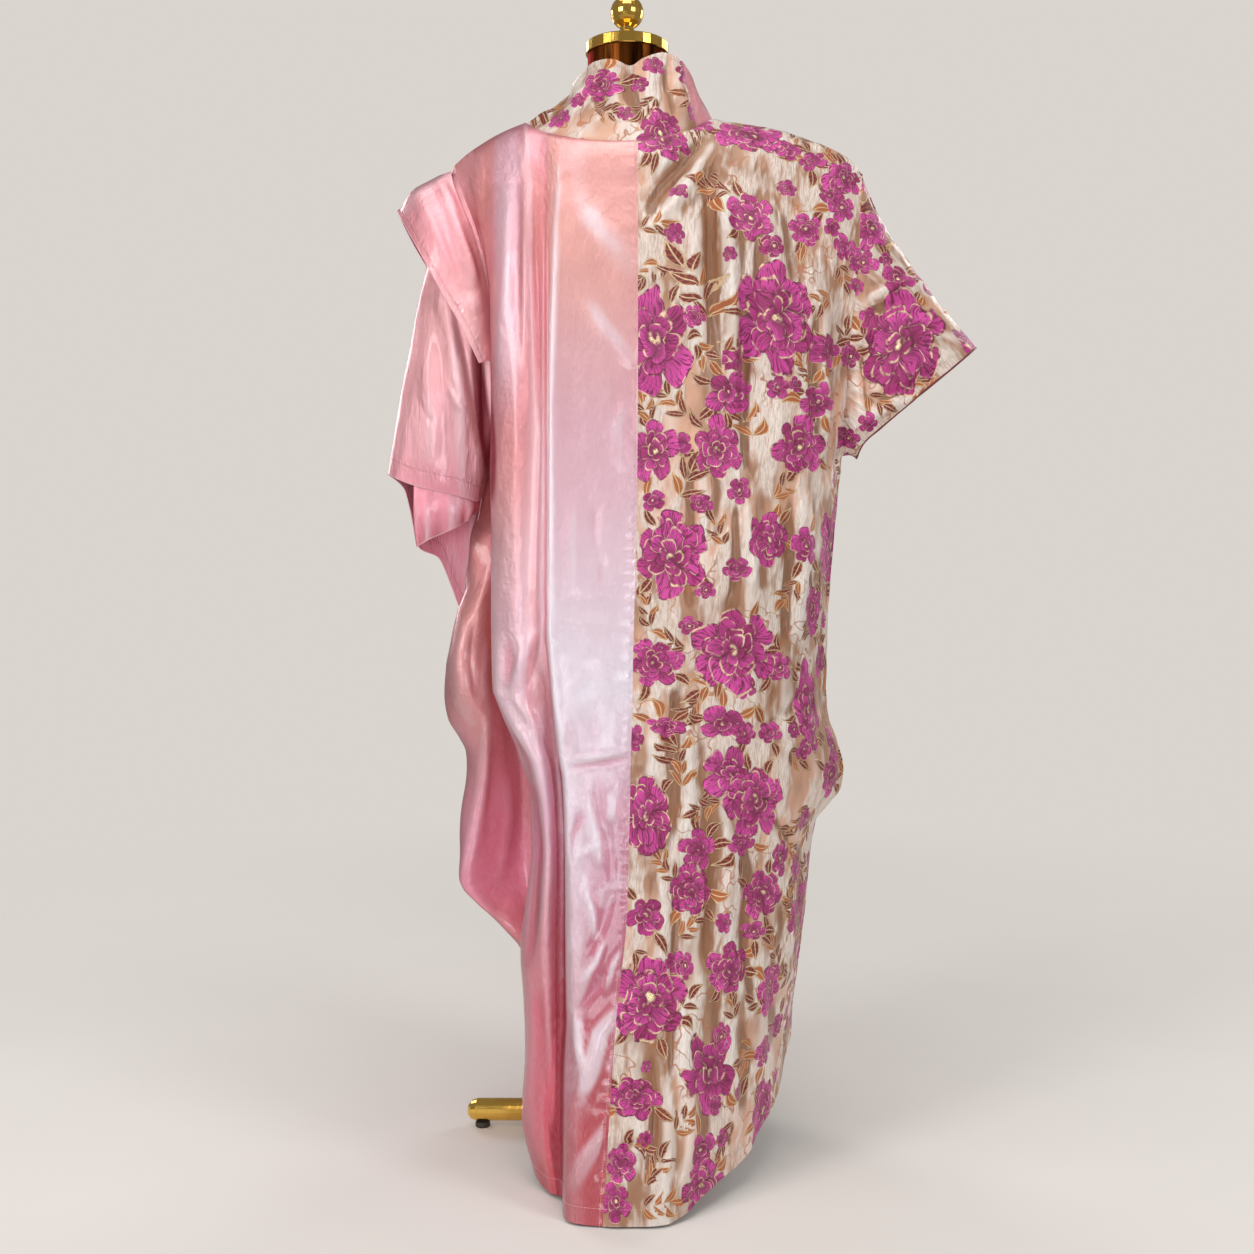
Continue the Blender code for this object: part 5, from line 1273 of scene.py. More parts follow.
class Finish:
    # one material being made
    def __init__(self, name, roughness=0.5, **fixed):
        self.made = bpy.data.materials.new(name)
        self.made.use_nodes = True
        self.tree = self.made.node_tree
        self.shader = next(node for node in self.tree.nodes if node.type == "BSDF_PRINCIPLED")
        self.shader.inputs["Roughness"].default_value = roughness
        for key, value in fixed.items():
            self.shader.inputs[key.replace("_", " ")].default_value = value
        self.place = self.value("ShaderNodeTexCoord", {}, {}, "Object")

    def node(self, kind, settings, inputs):
        made = self.tree.nodes.new(kind)
        for key, value in settings.items():
            if key == "stops":
                ramp = made.color_ramp
                while len(ramp.elements) < len(value):
                    ramp.elements.new(0.5)
                for element, (at, colour) in zip(ramp.elements, value):
                    element.position, element.color = at, (*colour, 1.0)
            else:
                setattr(made, key, value)
        for key, value in inputs.items():
            self.put(made.inputs[key], value)
        return made

    def value(self, kind, settings, inputs, output=0):
        return Thread(self, self.node(kind, settings, inputs).outputs[output])

    def put(self, socket, value):
        if isinstance(value, Thread):
            self.tree.links.new(value.socket, socket)
        elif isinstance(value, tuple) and socket.type == "RGBA":
            socket.default_value = (*value, 1.0)
        else:
            socket.default_value = value

    def set(self, name, value):
        self.put(self.shader.inputs[name], value)

    def mix(self, share, first, second):
        sockets = {0: share, 6: first, 7: second}
        return self.value("ShaderNodeMix", {"data_type": "RGBA", "blend_type": "MIX"}, sockets, 2)

    def noise(self, where, scale, detail=2.0, rough=0.5):
        return self.value("ShaderNodeTexNoise", {}, {
            "Vector": where, "Scale": scale, "Detail": detail, "Roughness": rough})

    def stretch(self, where, amounts):
        return self.value("ShaderNodeVectorMath", {"operation": "MULTIPLY"}, {0: where, 1: amounts})

    def map(self, name):
        return self.value("ShaderNodeUVMap", {"uv_map": name}, {})

    def parts(self, where):
        made = self.node("ShaderNodeSeparateXYZ", {}, {0: where})
        return [Thread(self, made.outputs[index]) for index in range(3)]

    def join(self, x, y, z):
        return self.value("ShaderNodeCombineXYZ", {}, {0: x, 1: y, 2: z})

    def attribute(self, name):
        return self.value("ShaderNodeAttribute", {"attribute_name": name}, {}, "Fac")

    def bump(self, height, strength, distance):
        self.set("Normal", self.value("ShaderNodeBump", {}, {
            "Height": height, "Strength": strength, "Distance": distance}))


def weave(finish, where, pitch):
    # threads over and under each other
    u, v = finish.parts(where)[:2]
    return ((u * (math.tau / pitch)).sine() * (v * (math.tau / pitch)).sine()) * 0.5 + 0.5


satinSettings = {
    # the panel ramp paints the flat panel's sheen by height: peach at the top, a lilac-white painted
    # highlight below the middle and darker painted shade towards the hem
    "panel": [(0.00, (0.46, 0.060, 0.070)), (0.10, (0.47, 0.070, 0.085)), (0.25, (0.50, 0.155, 0.24)),
              (0.36, (0.68, 0.42, 0.52)), (0.47, (0.80, 0.74, 0.82)), (0.58, (0.80, 0.60, 0.68)),
              (0.71, (0.76, 0.45, 0.52)), (0.86, (0.78, 0.40, 0.35)), (1.00, (0.78, 0.38, 0.34))],
    # the drape ramp: a pale painted highlight band at mid height, darker red painted shade round the
    # underarm's height and towards the hem
    "drape": [(0.00, (0.66, 0.080, 0.110)), (0.16, (0.80, 0.10, 0.18)), (0.33, (1.00, 0.34, 0.54)),
              (0.43, (1.00, 0.66, 0.80)), (0.53, (0.90, 0.35, 0.42)), (0.64, (0.74, 0.17, 0.16)),
              (0.74, (0.68, 0.14, 0.14)), (0.86, (0.78, 0.27, 0.30)), (1.00, (0.80, 0.36, 0.40))],
    "sleeve": [(0.00, (0.95, 0.34, 0.44)), (0.62, (0.97, 0.36, 0.46)), (0.70, (1.00, 0.53, 0.58)),
               (0.80, (1.00, 0.54, 0.56)), (0.90, (0.92, 0.40, 0.45)), (1.00, (0.88, 0.42, 0.45))],
    # the side ramp is darker and more amber than the drape's, painted shade of the flank, with a lighter pink
    # band low down
    "side": [(0.00, (0.74, 0.15, 0.19)), (0.28, (0.92, 0.30, 0.44)), (0.40, (0.76, 0.25, 0.29)),
             (0.55, (0.60, 0.16, 0.13)), (0.68, (0.70, 0.22, 0.20)), (1.00, (0.82, 0.34, 0.36))],
    # fixed colours: amber and rose tones laid at random; painted shade for grazing angles, hollows of folds,
    # the stitch groove, crease troughs and the nook by the sleeve; painted highlights for glints, crests and
    # crease ridges, the pleat's gleam, its mauve band and the flat panel's edge; the reverse's colour, partly
    # its own duller tone and partly painted shade; slub and grain colours of the weave
    "amber": (0.60, 0.19, 0.14), "rose": (0.70, 0.19, 0.28), "deep": (0.30, 0.008, 0.030),
    "sheen": (0.90, 0.82, 0.90), "inner": (0.40, 0.030, 0.080), "gleam": (1.00, 0.72, 0.82),
    "troughShade": (0.60, 0.22, 0.33), "nook": (0.22, 0.002, 0.016), "mauveHighlight": (0.86, 0.60, 0.74),
    "highlightTint": (0.98, 0.86, 0.93), "slub": (0.95, 0.80, 0.86), "grain": (0.98, 0.92, 0.98),
    "tall": 1.45, "weave": 0.0009}


def satinFinish(name, tones, reverse=0.0):
    finish = Finish(name, 0.30, Specular_IOR_Level=0.6, Specular_Tint=(1.0, 0.60, 0.68, 1.0),
                    Coat_Roughness=0.12, Sheen_Weight=0.06, Sheen_Roughness=0.35,
                    Sheen_Tint=(1.0, 0.6, 0.7, 1.0))
    colours = satinSettings
    where = finish.map("clothUV")
    hollow, panel = finish.attribute("hollow"), finish.attribute("panel")
    x, y, z = finish.parts(finish.place)
    # painted highlight and shade: the ramps colour the satin band by band with height, the flat panel by its
    # own ramp
    level = z / colours["tall"] + finish.noise(finish.place, 3.2, 2.0) * 0.16 - 0.08
    drape = finish.value("ShaderNodeValToRGB", {"stops": colours[tones]}, {0: level})
    flat = finish.value("ShaderNodeValToRGB", {"stops": colours["panel"]}, {0: level})
    warm = finish.noise(finish.stretch(finish.place, (1.0, 1.0, 0.35)), 11.0, 2.0).soft(0.40, 0.62)
    drape = finish.mix(warm * (0.15 if tones == "sleeve" else 0.55), drape, colours["amber"])
    base = finish.mix(panel, drape, flat)
    cloud = finish.noise(finish.stretch(finish.place, (1.0, 1.0, 0.5)), 9.0, 3.0).soft(0.35, 0.70)
    base = finish.mix(cloud * 0.25 * (1 - panel * 0.5), base, colours["rose"])
    # painted highlight: broken white glints where the cloth is creased low on the flat panel and over the
    # drape
    slanted = finish.stretch(finish.join(x * 0.9 + z * 0.5, y, z * 0.6 - x * 0.5), (1.0, 1.0, 1.0))
    glint = finish.noise(slanted, 34.0, 3.0, 0.6).soft(0.50, 0.66) * z.soft(0.04, 0.20) * z.soft(0.80, 0.50)
    base = finish.mix(glint * (panel * 0.24 + 0.04), base, colours["sheen"])
    facing = finish.value("ShaderNodeLayerWeight", {}, {"Blend": 0.35}, "Facing")
    # painted highlight along the pleat beside the flat panel's edge, and a mauve painted highlight further
    # left, from the underarm up
    pleat = finish.attribute("pleat")
    gleam = pleat.soft(-0.02, 0.08) * (1 - pleat.soft(0.12, 0.60)) * z.soft(0.62, 0.80)
    base = finish.mix(gleam * z.soft(1.24, 0.92, 0.02, 0.72), base, colours["gleam"])
    mauveHighlight = pleat.soft(0.60, 0.85) * (1 - pleat.soft(1.20, 1.45)) * z.soft(1.00, 1.14)
    base = finish.mix(mauveHighlight * 0.55, base, colours["mauveHighlight"])
    # painted shade: darker towards grazing angles, less where the gleam lies
    base = finish.mix(facing.soft(0.16, 0.72) * 0.80 * (1 - gleam * 0.8), base, colours["deep"])
    # painted shade in the hollows of the folds, strongest low down, weaker on the flat panel and on the side
    fold = 0.25 if tones == "side" else 1.0
    shade = hollow.soft(0.08, 0.55) * z.soft(0.75, 0.52, 0.28, 0.78) * fold
    shade = shade * (1 - panel * 0.55) * (1 - gleam * 0.8)
    base = finish.mix(shade, base, colours["deep"])
    # painted highlight on the crests of the folds, on the flat panel too
    crestHighlight = hollow.soft(-0.14, -0.70) * (z.soft(0.20, 0.60, 0.12, 0.40) * z.soft(1.00, 0.80, 0.55, 1.0) * fold
                                         + panel * 0.35 * z.soft(0.10, 0.30))
    base = finish.mix(crestHighlight, base, colours["sheen"])
    # painted highlight along the flat panel's edge, from the middle up
    edgeHighlight = (1 - (panel - 0.35).size().soft(0.10, 0.34)) * z.soft(0.62, 0.85) * z.soft(1.34, 1.16)
    base = finish.mix(edgeHighlight * 0.8, base, colours["highlightTint"])
    # the reverse is darkened towards a deep crimson, partly its own duller tone and partly painted shade of
    # the inside
    if reverse:
        base = finish.mix(reverse, base, colours["inner"])
    # painted highlight on the ridges of the creases and painted shade in their troughs, mostly on the flat
    # panel
    crease = finish.attribute("crease")
    low = z.soft(1.00, 0.62, 0.25, 1.0) * z.soft(0.04, 0.17, 0.25, 1.0)
    base = finish.mix(crease.soft(0.20, 1.4) * (panel * 0.50 + 0.12) * low, base, colours["sheen"])
    base = finish.mix(crease.soft(-0.15, -1.2) * (panel * 0.42 + 0.08) * low, base, colours["troughShade"])
    threads = weave(finish, where, colours["weave"])
    slubs = finish.noise(finish.stretch(where, (900.0, 90.0, 1.0)), 1.0, 2.0)
    base = finish.mix(slubs.soft(0.35, 0.75) * 0.10, base, colours["slub"])
    grain = finish.noise(where, 620.0, 2.0, 0.7).soft(0.40, 0.68)
    base = finish.mix(grain * 0.12 * z.soft(0.9, 0.7) * z.soft(0.2, 0.4), base, colours["grain"])
    # painted shade where the left sleeve hangs close to the body
    nook = finish.attribute("nook").soft(0.15, 0.80)
    base = finish.mix(nook * 0.92, base, colours["nook"])
    hem, seam = finish.attribute("hem"), finish.attribute("seam")
    # painted shade in the stitch groove above the hem
    groove = 1 - hem.size().soft(0.0004, 0.0024)
    base = finish.mix(groove * 0.14, base, colours["deep"])
    finish.set("Base Color", base)
    dimple = finish.noise(where, 150.0, 1.0) - 0.5
    pucker = (1 - hem.size().soft(0.002, 0.012)).most(1 - seam.soft(0.003, 0.014)) * dimple
    crumple = finish.noise(finish.stretch(where, (1.0, 0.55, 1.0)), 30.0, 3.0, 0.55)
    small = finish.noise(where, 150.0, 2.0, 0.5)
    finish.set("Metallic", (cloud * 0.08 + (0.05 if reverse else 0.36)) * (1 - nook * 0.8))
    finish.set("Roughness", slubs * 0.10 + cloud * 0.05 + shade * 0.25 + (0.42 if reverse else 0.25))
    finish.set("Coat Weight", (cloud * 0.1 + (0.05 if reverse else 0.50)) * (1 - shade) * (1 - nook))
    height = crumple * 1.2 + pucker * 0.55 - groove * 0.12 + small * 0.18 + threads * 0.03 + slubs * 0.04
    finish.bump(height, 0.8, 0.0040)
    return finish.made


# Brocade colours: the weave's own, with painted shade and painted glints for the crinkles, and painted shade
# and highlight for the folds
brocadeSettings = {
    "ivory": (0.97, 0.84, 0.76), "shade": (0.64, 0.45, 0.34), "tan": (0.36, 0.180, 0.095),
    "blush": (0.74, 0.42, 0.29), "fold": (0.28, 0.115, 0.048), "magenta": (0.47, 0.018, 0.20),
    "bright": (0.80, 0.085, 0.44), "dark": (0.115, 0.004, 0.022), "gold": (0.92, 0.74, 0.44),
    "maroon": (0.17, 0.014, 0.020), "brown": (0.47, 0.135, 0.036), "gloss": (0.99, 0.91, 0.85),
    "crestHighlight": (1.0, 0.95, 0.90), "weave": 0.0011}


# Rings of each kind of blossom from the outside in: number of petals and reach
petalRings = {"C": ((4, 1.00), (3, 0.50)), "B": ((5, 1.02), (5, 0.70), (3, 0.40)),
              "A": ((6, 1.06), (6, 0.84), (5, 0.62), (4, 0.38))}


def petalRing(finish, turn, reach, seed, petals, size, deep):
    # one ring of uneven petals: its mask, the petals' own tone, the gaps and the outline
    spin = turn * (petals / math.tau) + seed * 7.0 * petals + deep
    cell = spin.work("FLOOR").work("FLOORED_MODULO", float(petals))
    across = (spin.work("FRACT") - 0.5).size() * 2.0
    own = finish.value("ShaderNodeTexWhiteNoise", {"noise_dimensions": "1D"}, {
        "W": cell * 7.31 + seed * 91.0 + deep})
    edge = (own * 0.22 + 0.84) * (1 - across.power(3.8) * 0.42) * size
    mask = (edge - reach).soft(0.0, 0.03)
    gap = across.soft(0.80, 0.99) * reach.soft(size * 0.20, size * 0.5)
    rim = 1 - (edge - reach - 0.03).size().soft(0.010, 0.045)
    return mask, own, gap, rim


def blossomOn(finish, ground, key, rings):
    colours = brocadeSettings
    p, q = finish.parts(finish.map("bloom" + key))[:2]
    seed = finish.attribute("seed" + key)
    bend = finish.value("ShaderNodeTexNoise", {}, {
        "Vector": finish.place, "Scale": 36.0, "Detail": 0.0}, "Color")
    bendX, bendY = finish.parts(bend)[:2]
    p = p + (bendX - 0.5) * 0.36
    q = q + (bendY - 0.5) * 0.36
    turn = q.work("ARCTAN2", p)
    edgeWobble = finish.noise(finish.place, 300.0, 1.0) - 0.5
    reach = (p * p + q * q).root() + edgeWobble * 0.03
    streakAt = finish.join(turn * 5.0, reach * 0.9, seed * 9.0)
    dark = finish.noise(streakAt, 4.2, 3.0, 0.62).soft(0.50, 0.57)
    broken = finish.noise(finish.place, 85.0, 2.0).soft(0.42, 0.60)
    whole, gold = None, None
    colour = ground
    for index, (petals, size) in enumerate(rings):
        mask, own, gap, rim = petalRing(finish, turn, reach, seed, petals, size, index * 3.7)
        tone = finish.mix(own, colours["magenta"], colours["bright"])
        tone = finish.mix((reach / size).soft(0.95, 0.25) * 0.70, tone, colours["dark"])
        tone = finish.mix(dark * 0.80, tone, colours["dark"])
        tone = finish.mix(gap * 0.9, tone, colours["dark"])
        tone = finish.mix(rim * (1 - broken) * 0.85, tone, colours["dark"])
        line = rim * broken * 0.8
        tone = finish.mix(line, tone, colours["gold"])
        colour = finish.mix(mask, colour, tone)
        whole = mask if whole is None else whole.most(mask)
        gold = line * mask if gold is None else gold * (1 - mask) + line * mask
    middle = (0.15 - reach).soft(0.0, 0.08) * broken
    colour = finish.mix(middle * whole, colour, colours["gold"])
    return colour, whole, gold.most(middle * whole)


def leafOn(finish, ground, key):
    colours = brocadeSettings
    p, q = finish.parts(finish.map(key))[:2]
    seed = finish.attribute("seed" + key)
    q = q + (p * math.pi).sine() * (seed - 0.5) * 2.2
    wobble = (finish.noise(finish.place, 220.0, 1.0) - 0.5) * 0.30
    inside = p.over(0.0) * (1.0 - p.over(1.0))
    width = (p.most(0.0).power(0.75) * math.pi).sine().most(0.0).power(1.15)
    half = q.size() + wobble
    leaf = (width - half).soft(0.0, 0.14) * inside
    rim = (1 - (width - half - 0.16).size().soft(0.04, 0.16)) * inside
    vein = (1 - q.size().soft(0.05, 0.14)) * inside
    ribs = ((p * 34.0 - q.size() * 5.0).sine()).soft(0.35, 0.9) * 0.5
    colour = finish.mix(seed.soft(0.45, 0.75), colours["maroon"], colours["brown"])
    colour = finish.mix(ribs, colour, colours["brown"])
    gold = (rim * 0.60).most(vein * 0.65)
    colour = finish.mix(gold, colour, colours["gold"])
    return finish.mix(leaf, ground, colour), leaf, gold * leaf


def brocadeFinish(name):
    colours = brocadeSettings
    finish = Finish(name, 0.4, Specular_IOR_Level=0.55, Coat_Roughness=0.18, Sheen_Weight=0.08,
                    Sheen_Roughness=0.4)
    where = finish.map("clothUV")
    crinkle = finish.noise(finish.stretch(where, (420.0, 62.0, 1.0)), 1.0, 3.0, 0.6)
    fineCrinkle = finish.noise(finish.stretch(where, (1100.0, 170.0, 1.0)), 1.0, 2.0, 0.5)
    patch = finish.noise(finish.stretch(where, (19.0, 7.5, 1.0)), 1.0, 3.0, 0.62).soft(0.44, 0.55)
    # painted shade in the crinkles' troughs and painted glints on the fine crinkles, over the ivory ground
    ivory = finish.mix(crinkle.soft(0.30, 0.60), colours["shade"], colours["ivory"])
    ivory = finish.mix(fineCrinkle.soft(0.40, 0.72) * 0.55, ivory, colours["gloss"])
    blush = finish.noise(finish.place, 5.5, 2.0).soft(0.40, 0.62)
    tan = finish.mix(blush, colours["tan"], colours["blush"])
    ground = finish.mix(patch * 0.92, tan, ivory)
    # painted shade in the hollows of the folds and painted highlight on their crests
    hollow = finish.attribute("hollow")
    ground = finish.mix(hollow.soft(0.03, 0.42) * 0.92, ground, colours["fold"])
    ground = finish.mix(hollow.soft(-0.10, -0.70) * 0.50, ground, colours["crestHighlight"])
    curl = finish.noise(finish.place, 24.0, 2.0)
    grown = finish.noise(finish.place, 8.0, 1.0).soft(0.50, 0.56)
    stem = (1 - (curl - 0.5).size().soft(0.004, 0.016)) * grown
    ground = finish.mix(stem * 0.75, ground, colours["brown"])
    ground, covered, gold = leafOn(finish, ground, "leafA")
    ground, leaf, line = leafOn(finish, ground, "leafB")
    covered, gold = covered.most(leaf), gold.most(line)
    for key, rings in petalRings.items():
        ground, flower, line = blossomOn(finish, ground, key, rings)
        covered, gold = covered.most(flower), gold.most(line)
    plain = 1 - covered
    finish.set("Base Color", ground)
    finish.set("Metallic", plain * (patch * 0.10 + 0.16) + covered * 0.15 + gold * 0.70)
    finish.set("Coat Weight", plain * 0.35 + gold * 0.3)
    finish.set("Roughness", plain * (crinkle * 0.20 + 0.22) + covered * 0.40 - gold * 0.14)
    threads = weave(finish, where, colours["weave"])
    height = plain * patch * (crinkle * 1.1 + fineCrinkle * 0.35) + covered * 0.55 + gold * 0.25
    height = height + threads * 0.05 + finish.noise(where, 60.0, 2.0) * plain * 0.5
    finish.bump(height, 1.0, 0.0030)
    return finish.made


def liningFinish(name):
    finish = Finish(name, 0.45, Sheen_Weight=0.2)
    where = finish.map("clothUV")
    shade = finish.noise(finish.place, 40.0, 2.0).soft(0.3, 0.7)
    finish.set("Base Color", finish.mix(shade, (0.20, 0.018, 0.030), (0.30, 0.035, 0.05)))
    finish.set("Roughness", shade * 0.15 + 0.38)
    finish.bump(weave(finish, where, 0.0010) * 0.3 + finish.noise(where, 90.0, 2.0) * 0.5, 0.5, 0.001)
    return finish.made


def brassFinish(name):
    finish = Finish(name, 0.2, Coat_Weight=0.0)
    wear = finish.noise(finish.place, 14.0, 3.0).soft(0.42, 0.70)
    scratch = finish.noise(finish.stretch(finish.place, (260.0, 260.0, 18.0)), 1.0, 2.0).soft(0.55, 0.80)
    finish.set("Base Color", finish.mix(wear, (0.86, 0.55, 0.12), (0.62, 0.34, 0.06)))
    finish.set("Metallic", 1.0 - wear * 0.1)
    finish.set("Roughness", wear * 0.12 + scratch * 0.10 + 0.10)
    finish.bump(scratch * 0.3 + finish.noise(finish.place, 60.0, 2.0) * 0.4, 0.25, 0.0006)
    return finish.made


def formFinish(name):
    finish = Finish(name, 0.35, Metallic=0.92, Specular_Tint=(0.60, 0.25, 0.10, 1.0))
    folds = finish.noise(finish.stretch(finish.place, (60.0, 60.0, 7.0)), 1.0, 2.0)
    # painted shade in the troughs of the cover's bumped folds and painted highlight on their crests
    finish.set("Base Color", finish.mix(folds.soft(0.35, 0.65), (0.020, 0.005, 0.001), (0.13, 0.036, 0.006)))
    finish.set("Roughness", folds * 0.2 + 0.22)
    finish.bump(folds * 1.0 + finish.noise(finish.place, 900.0, 1.0) * 0.06, 0.6, 0.003)
    return finish.made


def rubberFinish(name):
    finish = Finish(name, 0.6)
    grain = finish.noise(finish.place, 700.0, 3.0)
    finish.set("Base Color", finish.mix(grain.soft(0.3, 0.7), (0.035, 0.027, 0.020), (0.06, 0.048, 0.038)))
    finish.set("Roughness", grain * 0.25 + 0.5)
    finish.bump(grain, 0.4, 0.0005)
    return finish.made


def threadFinish(name, light, dark):
    # twisted sewing thread or a narrow rolled edge
    finish = Finish(name, 0.4, Sheen_Weight=0.2)
    x, y, z = finish.parts(finish.place)
    twist = ((x + y + z) * (math.tau / 0.0007)).sine() * 0.5 + 0.5
    worn = finish.noise(finish.place, 90.0, 2.0).soft(0.35, 0.65)
    # painted shade in the grooves of the twist, with lighter and darker random worn patches
    finish.set("Base Color", finish.mix(twist * 0.5 + worn * 0.5, dark, light))
    finish.set("Roughness", worn * 0.2 + 0.35)
    finish.bump(twist, 0.5, 0.0002)
    return finish.made


satin = satinFinish("pinkSatin", "drape")
satinInside = satinFinish("pinkSatinReverse", "drape", 0.80)
sideSatin = satinFinish("shadedSatin", "side")
sleeveSatin = satinFinish("paleSatin", "sleeve")
sleeveInside = satinFinish("paleSatinReverse", "sleeve", 0.30)
brocade = brocadeFinish("floralBrocade")
lining = liningFinish("wineLining")
brass = brassFinish("polishedBrass")
covering = formFinish("copperBrownCover")
rubber = rubberFinish("footRubber")
pinkThread = threadFinish("pinkThread", (0.96, 0.60, 0.68), (0.86, 0.40, 0.48))
beigeThread = threadFinish("beigeThread", (0.80, 0.66, 0.52), (0.42, 0.26, 0.17))
wineEdge = threadFinish("wineEdge", (0.28, 0.020, 0.035), (0.09, 0.006, 0.012))
print("finishes made")


# Stitches and rolled edges, grown along lines on the cloth
class Grown:
    def __init__(self, name, inputs):
        self.tree = bpy.data.node_groups.new(name, "GeometryNodeTree")
        self.tree.interface.new_socket("Geometry", in_out="INPUT", socket_type="NodeSocketGeometry")
        for key, kind in inputs.items():
            self.tree.interface.new_socket(key, in_out="INPUT", socket_type="NodeSocket" + kind)
        self.tree.interface.new_socket("Geometry", in_out="OUTPUT", socket_type="NodeSocketGeometry")
        self.entry = self.tree.nodes.new("NodeGroupInput")
        self.exit = self.tree.nodes.new("NodeGroupOutput")

    def add(self, kind, settings, inputs):
        made = self.tree.nodes.new(kind)
        for key, value in settings.items():
            setattr(made, key, value)
        for key, value in inputs.items():
            if isinstance(value, bpy.types.NodeSocket):
                self.tree.links.new(value, made.inputs[key])
            else:
                made.inputs[key].default_value = value
        return made

    def close(self, socket, finish):
        whole = self.add("GeometryNodeRealizeInstances", {}, {"Geometry": socket})
        smooth = self.add("GeometryNodeSetShadeSmooth", {}, {0: whole.outputs[0]})
        painted = self.add("GeometryNodeSetMaterial", {}, {"Geometry": smooth.outputs[0], "Material": finish})
        self.tree.links.new(painted.outputs[0], self.exit.inputs[0])

    def make(self, name, lines, values):
        # a plain mesh of the tree run on the lines
        mesh = bpy.data.meshes.new(name)
        points = [tuple(point) for line in lines for point in line]
        edges, start = [], 0
        for line in lines:
            edges += [(start + step, start + step + 1) for step in range(len(line) - 1)]
            start += len(line)
        mesh.from_pydata(points, edges, [])
        source = placed(name + "_path", mesh)
        run = source.modifiers.new("grow", "NODES")
        run.node_group = self.tree
        for item in self.tree.interface.items_tree:
            if item.in_out == "INPUT" and item.name in values:
                run[item.identifier] = values[item.name]
        graph = bpy.context.evaluated_depsgraph_get()
        plain = bpy.data.meshes.new_from_object(source.evaluated_get(graph))
        bpy.data.objects.remove(source)
        plain.name = name
        return placed(name, plain)


stitches = Grown("stitches", {"Pitch": "Float", "Length": "Float", "Thickness": "Float", "Seed": "Int",
                              "Thread": "Material"})
given = stitches.entry.outputs
line = stitches.add("GeometryNodeMeshToCurve", {}, {0: given["Geometry"]})
spots = stitches.add("GeometryNodeCurveToPoints", {"mode": "LENGTH"}, {
    "Curve": line.outputs[0], "Length": given["Pitch"]})
bead = stitches.add("GeometryNodeMeshUVSphere", {}, {"Segments": 8, "Rings": 6, "Radius": 0.5})
stretched = stitches.add("ShaderNodeCombineXYZ", {}, {
    0: given["Thickness"], 1: given["Thickness"], 2: given["Length"]})
sized = stitches.add("GeometryNodeTransform", {}, {
    "Geometry": bead.outputs[0], "Scale": stretched.outputs[0]})
along = stitches.add("FunctionNodeAlignRotationToVector", {"axis": "Z"}, {"Vector": spots.outputs["Tangent"]})
uneven = stitches.add("FunctionNodeRandomValue", {"data_type": "FLOAT"}, {
    2: 0.82, 3: 1.12, "Seed": given["Seed"]})
sewn = stitches.add("GeometryNodeInstanceOnPoints", {}, {
    "Points": spots.outputs["Points"], "Instance": sized.outputs[0], "Rotation": along.outputs[0],
    "Scale": uneven.outputs[1]})
stitches.close(sewn.outputs[0], given["Thread"])

rolled = Grown("rolledEdge", {"Radius": "Float", "Thread": "Material"})
given = rolled.entry.outputs
line = rolled.add("GeometryNodeMeshToCurve", {}, {0: given["Geometry"]})
ring = rolled.add("GeometryNodeCurvePrimitiveCircle", {}, {"Resolution": 8, "Radius": given["Radius"]})
tube = rolled.add("GeometryNodeCurveToMesh", {}, {"Curve": line.outputs[0], "Profile Curve": ring.outputs[0],
                                                  "Fill Caps": True})
rolled.close(tube.outputs[0], given["Thread"])


def insetLine(name, side, distance, lift):
    # a line on the cloth at a distance from one of its edges
    grid, normal = grids[name], normals[name]
    if side == "start":
        grid, normal = grid.transpose(1, 0, 2), normal.transpose(1, 0, 2)
    elif side == "last":
        grid, normal = grid[::-1], normal[::-1]
    lengths = runLengths(grid)
    points = []
    for column in range(grid.shape[1]):
        found = [[np.interp(distance, lengths[:, column], values[:, column, axis]) for axis in range(3)]
                 for values in (grid, normal)]
        points.append(np.array(found[0]) + np.array(found[1]) * lift)
    return np.array(points) + np.array(poleAt)


stitchSettings = {"Pitch": 0.0034, "Length": 0.0025, "Thickness": 0.0006}
stitchLift, edgeSink = 0.0002, 0.0004
# Lines of stitches: the edge that they follow and their distance from it
stitchLines = {name: [("last", away)] for name, away in hemStitch.items()}
stitchLines["back_satin"] = [("start", 0.0045), ("first", 0.020)]
for name in ("side_satin", "front_satin", "back_brocade", "front_brocade"):
    stitchLines[name] = [("first", 0.020)]
stitchLines["collar"] = [("last", 0.007)]
# Rolled edges: the edge, the roll's radius and its finish
edgeLines = {"left_sleeve": ("last", 0.0007, pinkThread), "left_cap": ("last", 0.0007, pinkThread),
             "sleeve_turn": ("last", 0.0009, pinkThread), "right_sleeve": ("last", 0.0013, wineEdge),
             "collar": ("first", 0.0007, wineEdge)}
trims = {name: [] for name in grids}
for seed, (name, wanted) in enumerate(stitchLines.items()):
    lines = [insetLine(name, side, distance, stitchLift) for side, distance in wanted]
    chosen = {"Seed": seed, "Thread": beigeThread if isPatterned(name) else pinkThread}
    trims[name].append(stitches.make(name + "_stitches", lines, {**stitchSettings, **chosen}))
for name, (side, radius, thread) in edgeLines.items():
    lines = [insetLine(name, side, 0.0, -edgeSink)]
    trims[name].append(rolled.make(name + "_edge", lines, {"Radius": radius, "Thread": thread}))
print("stitches and edges sewn:", sum(len(made.data.polygons) for held in trims.values() for made in held))

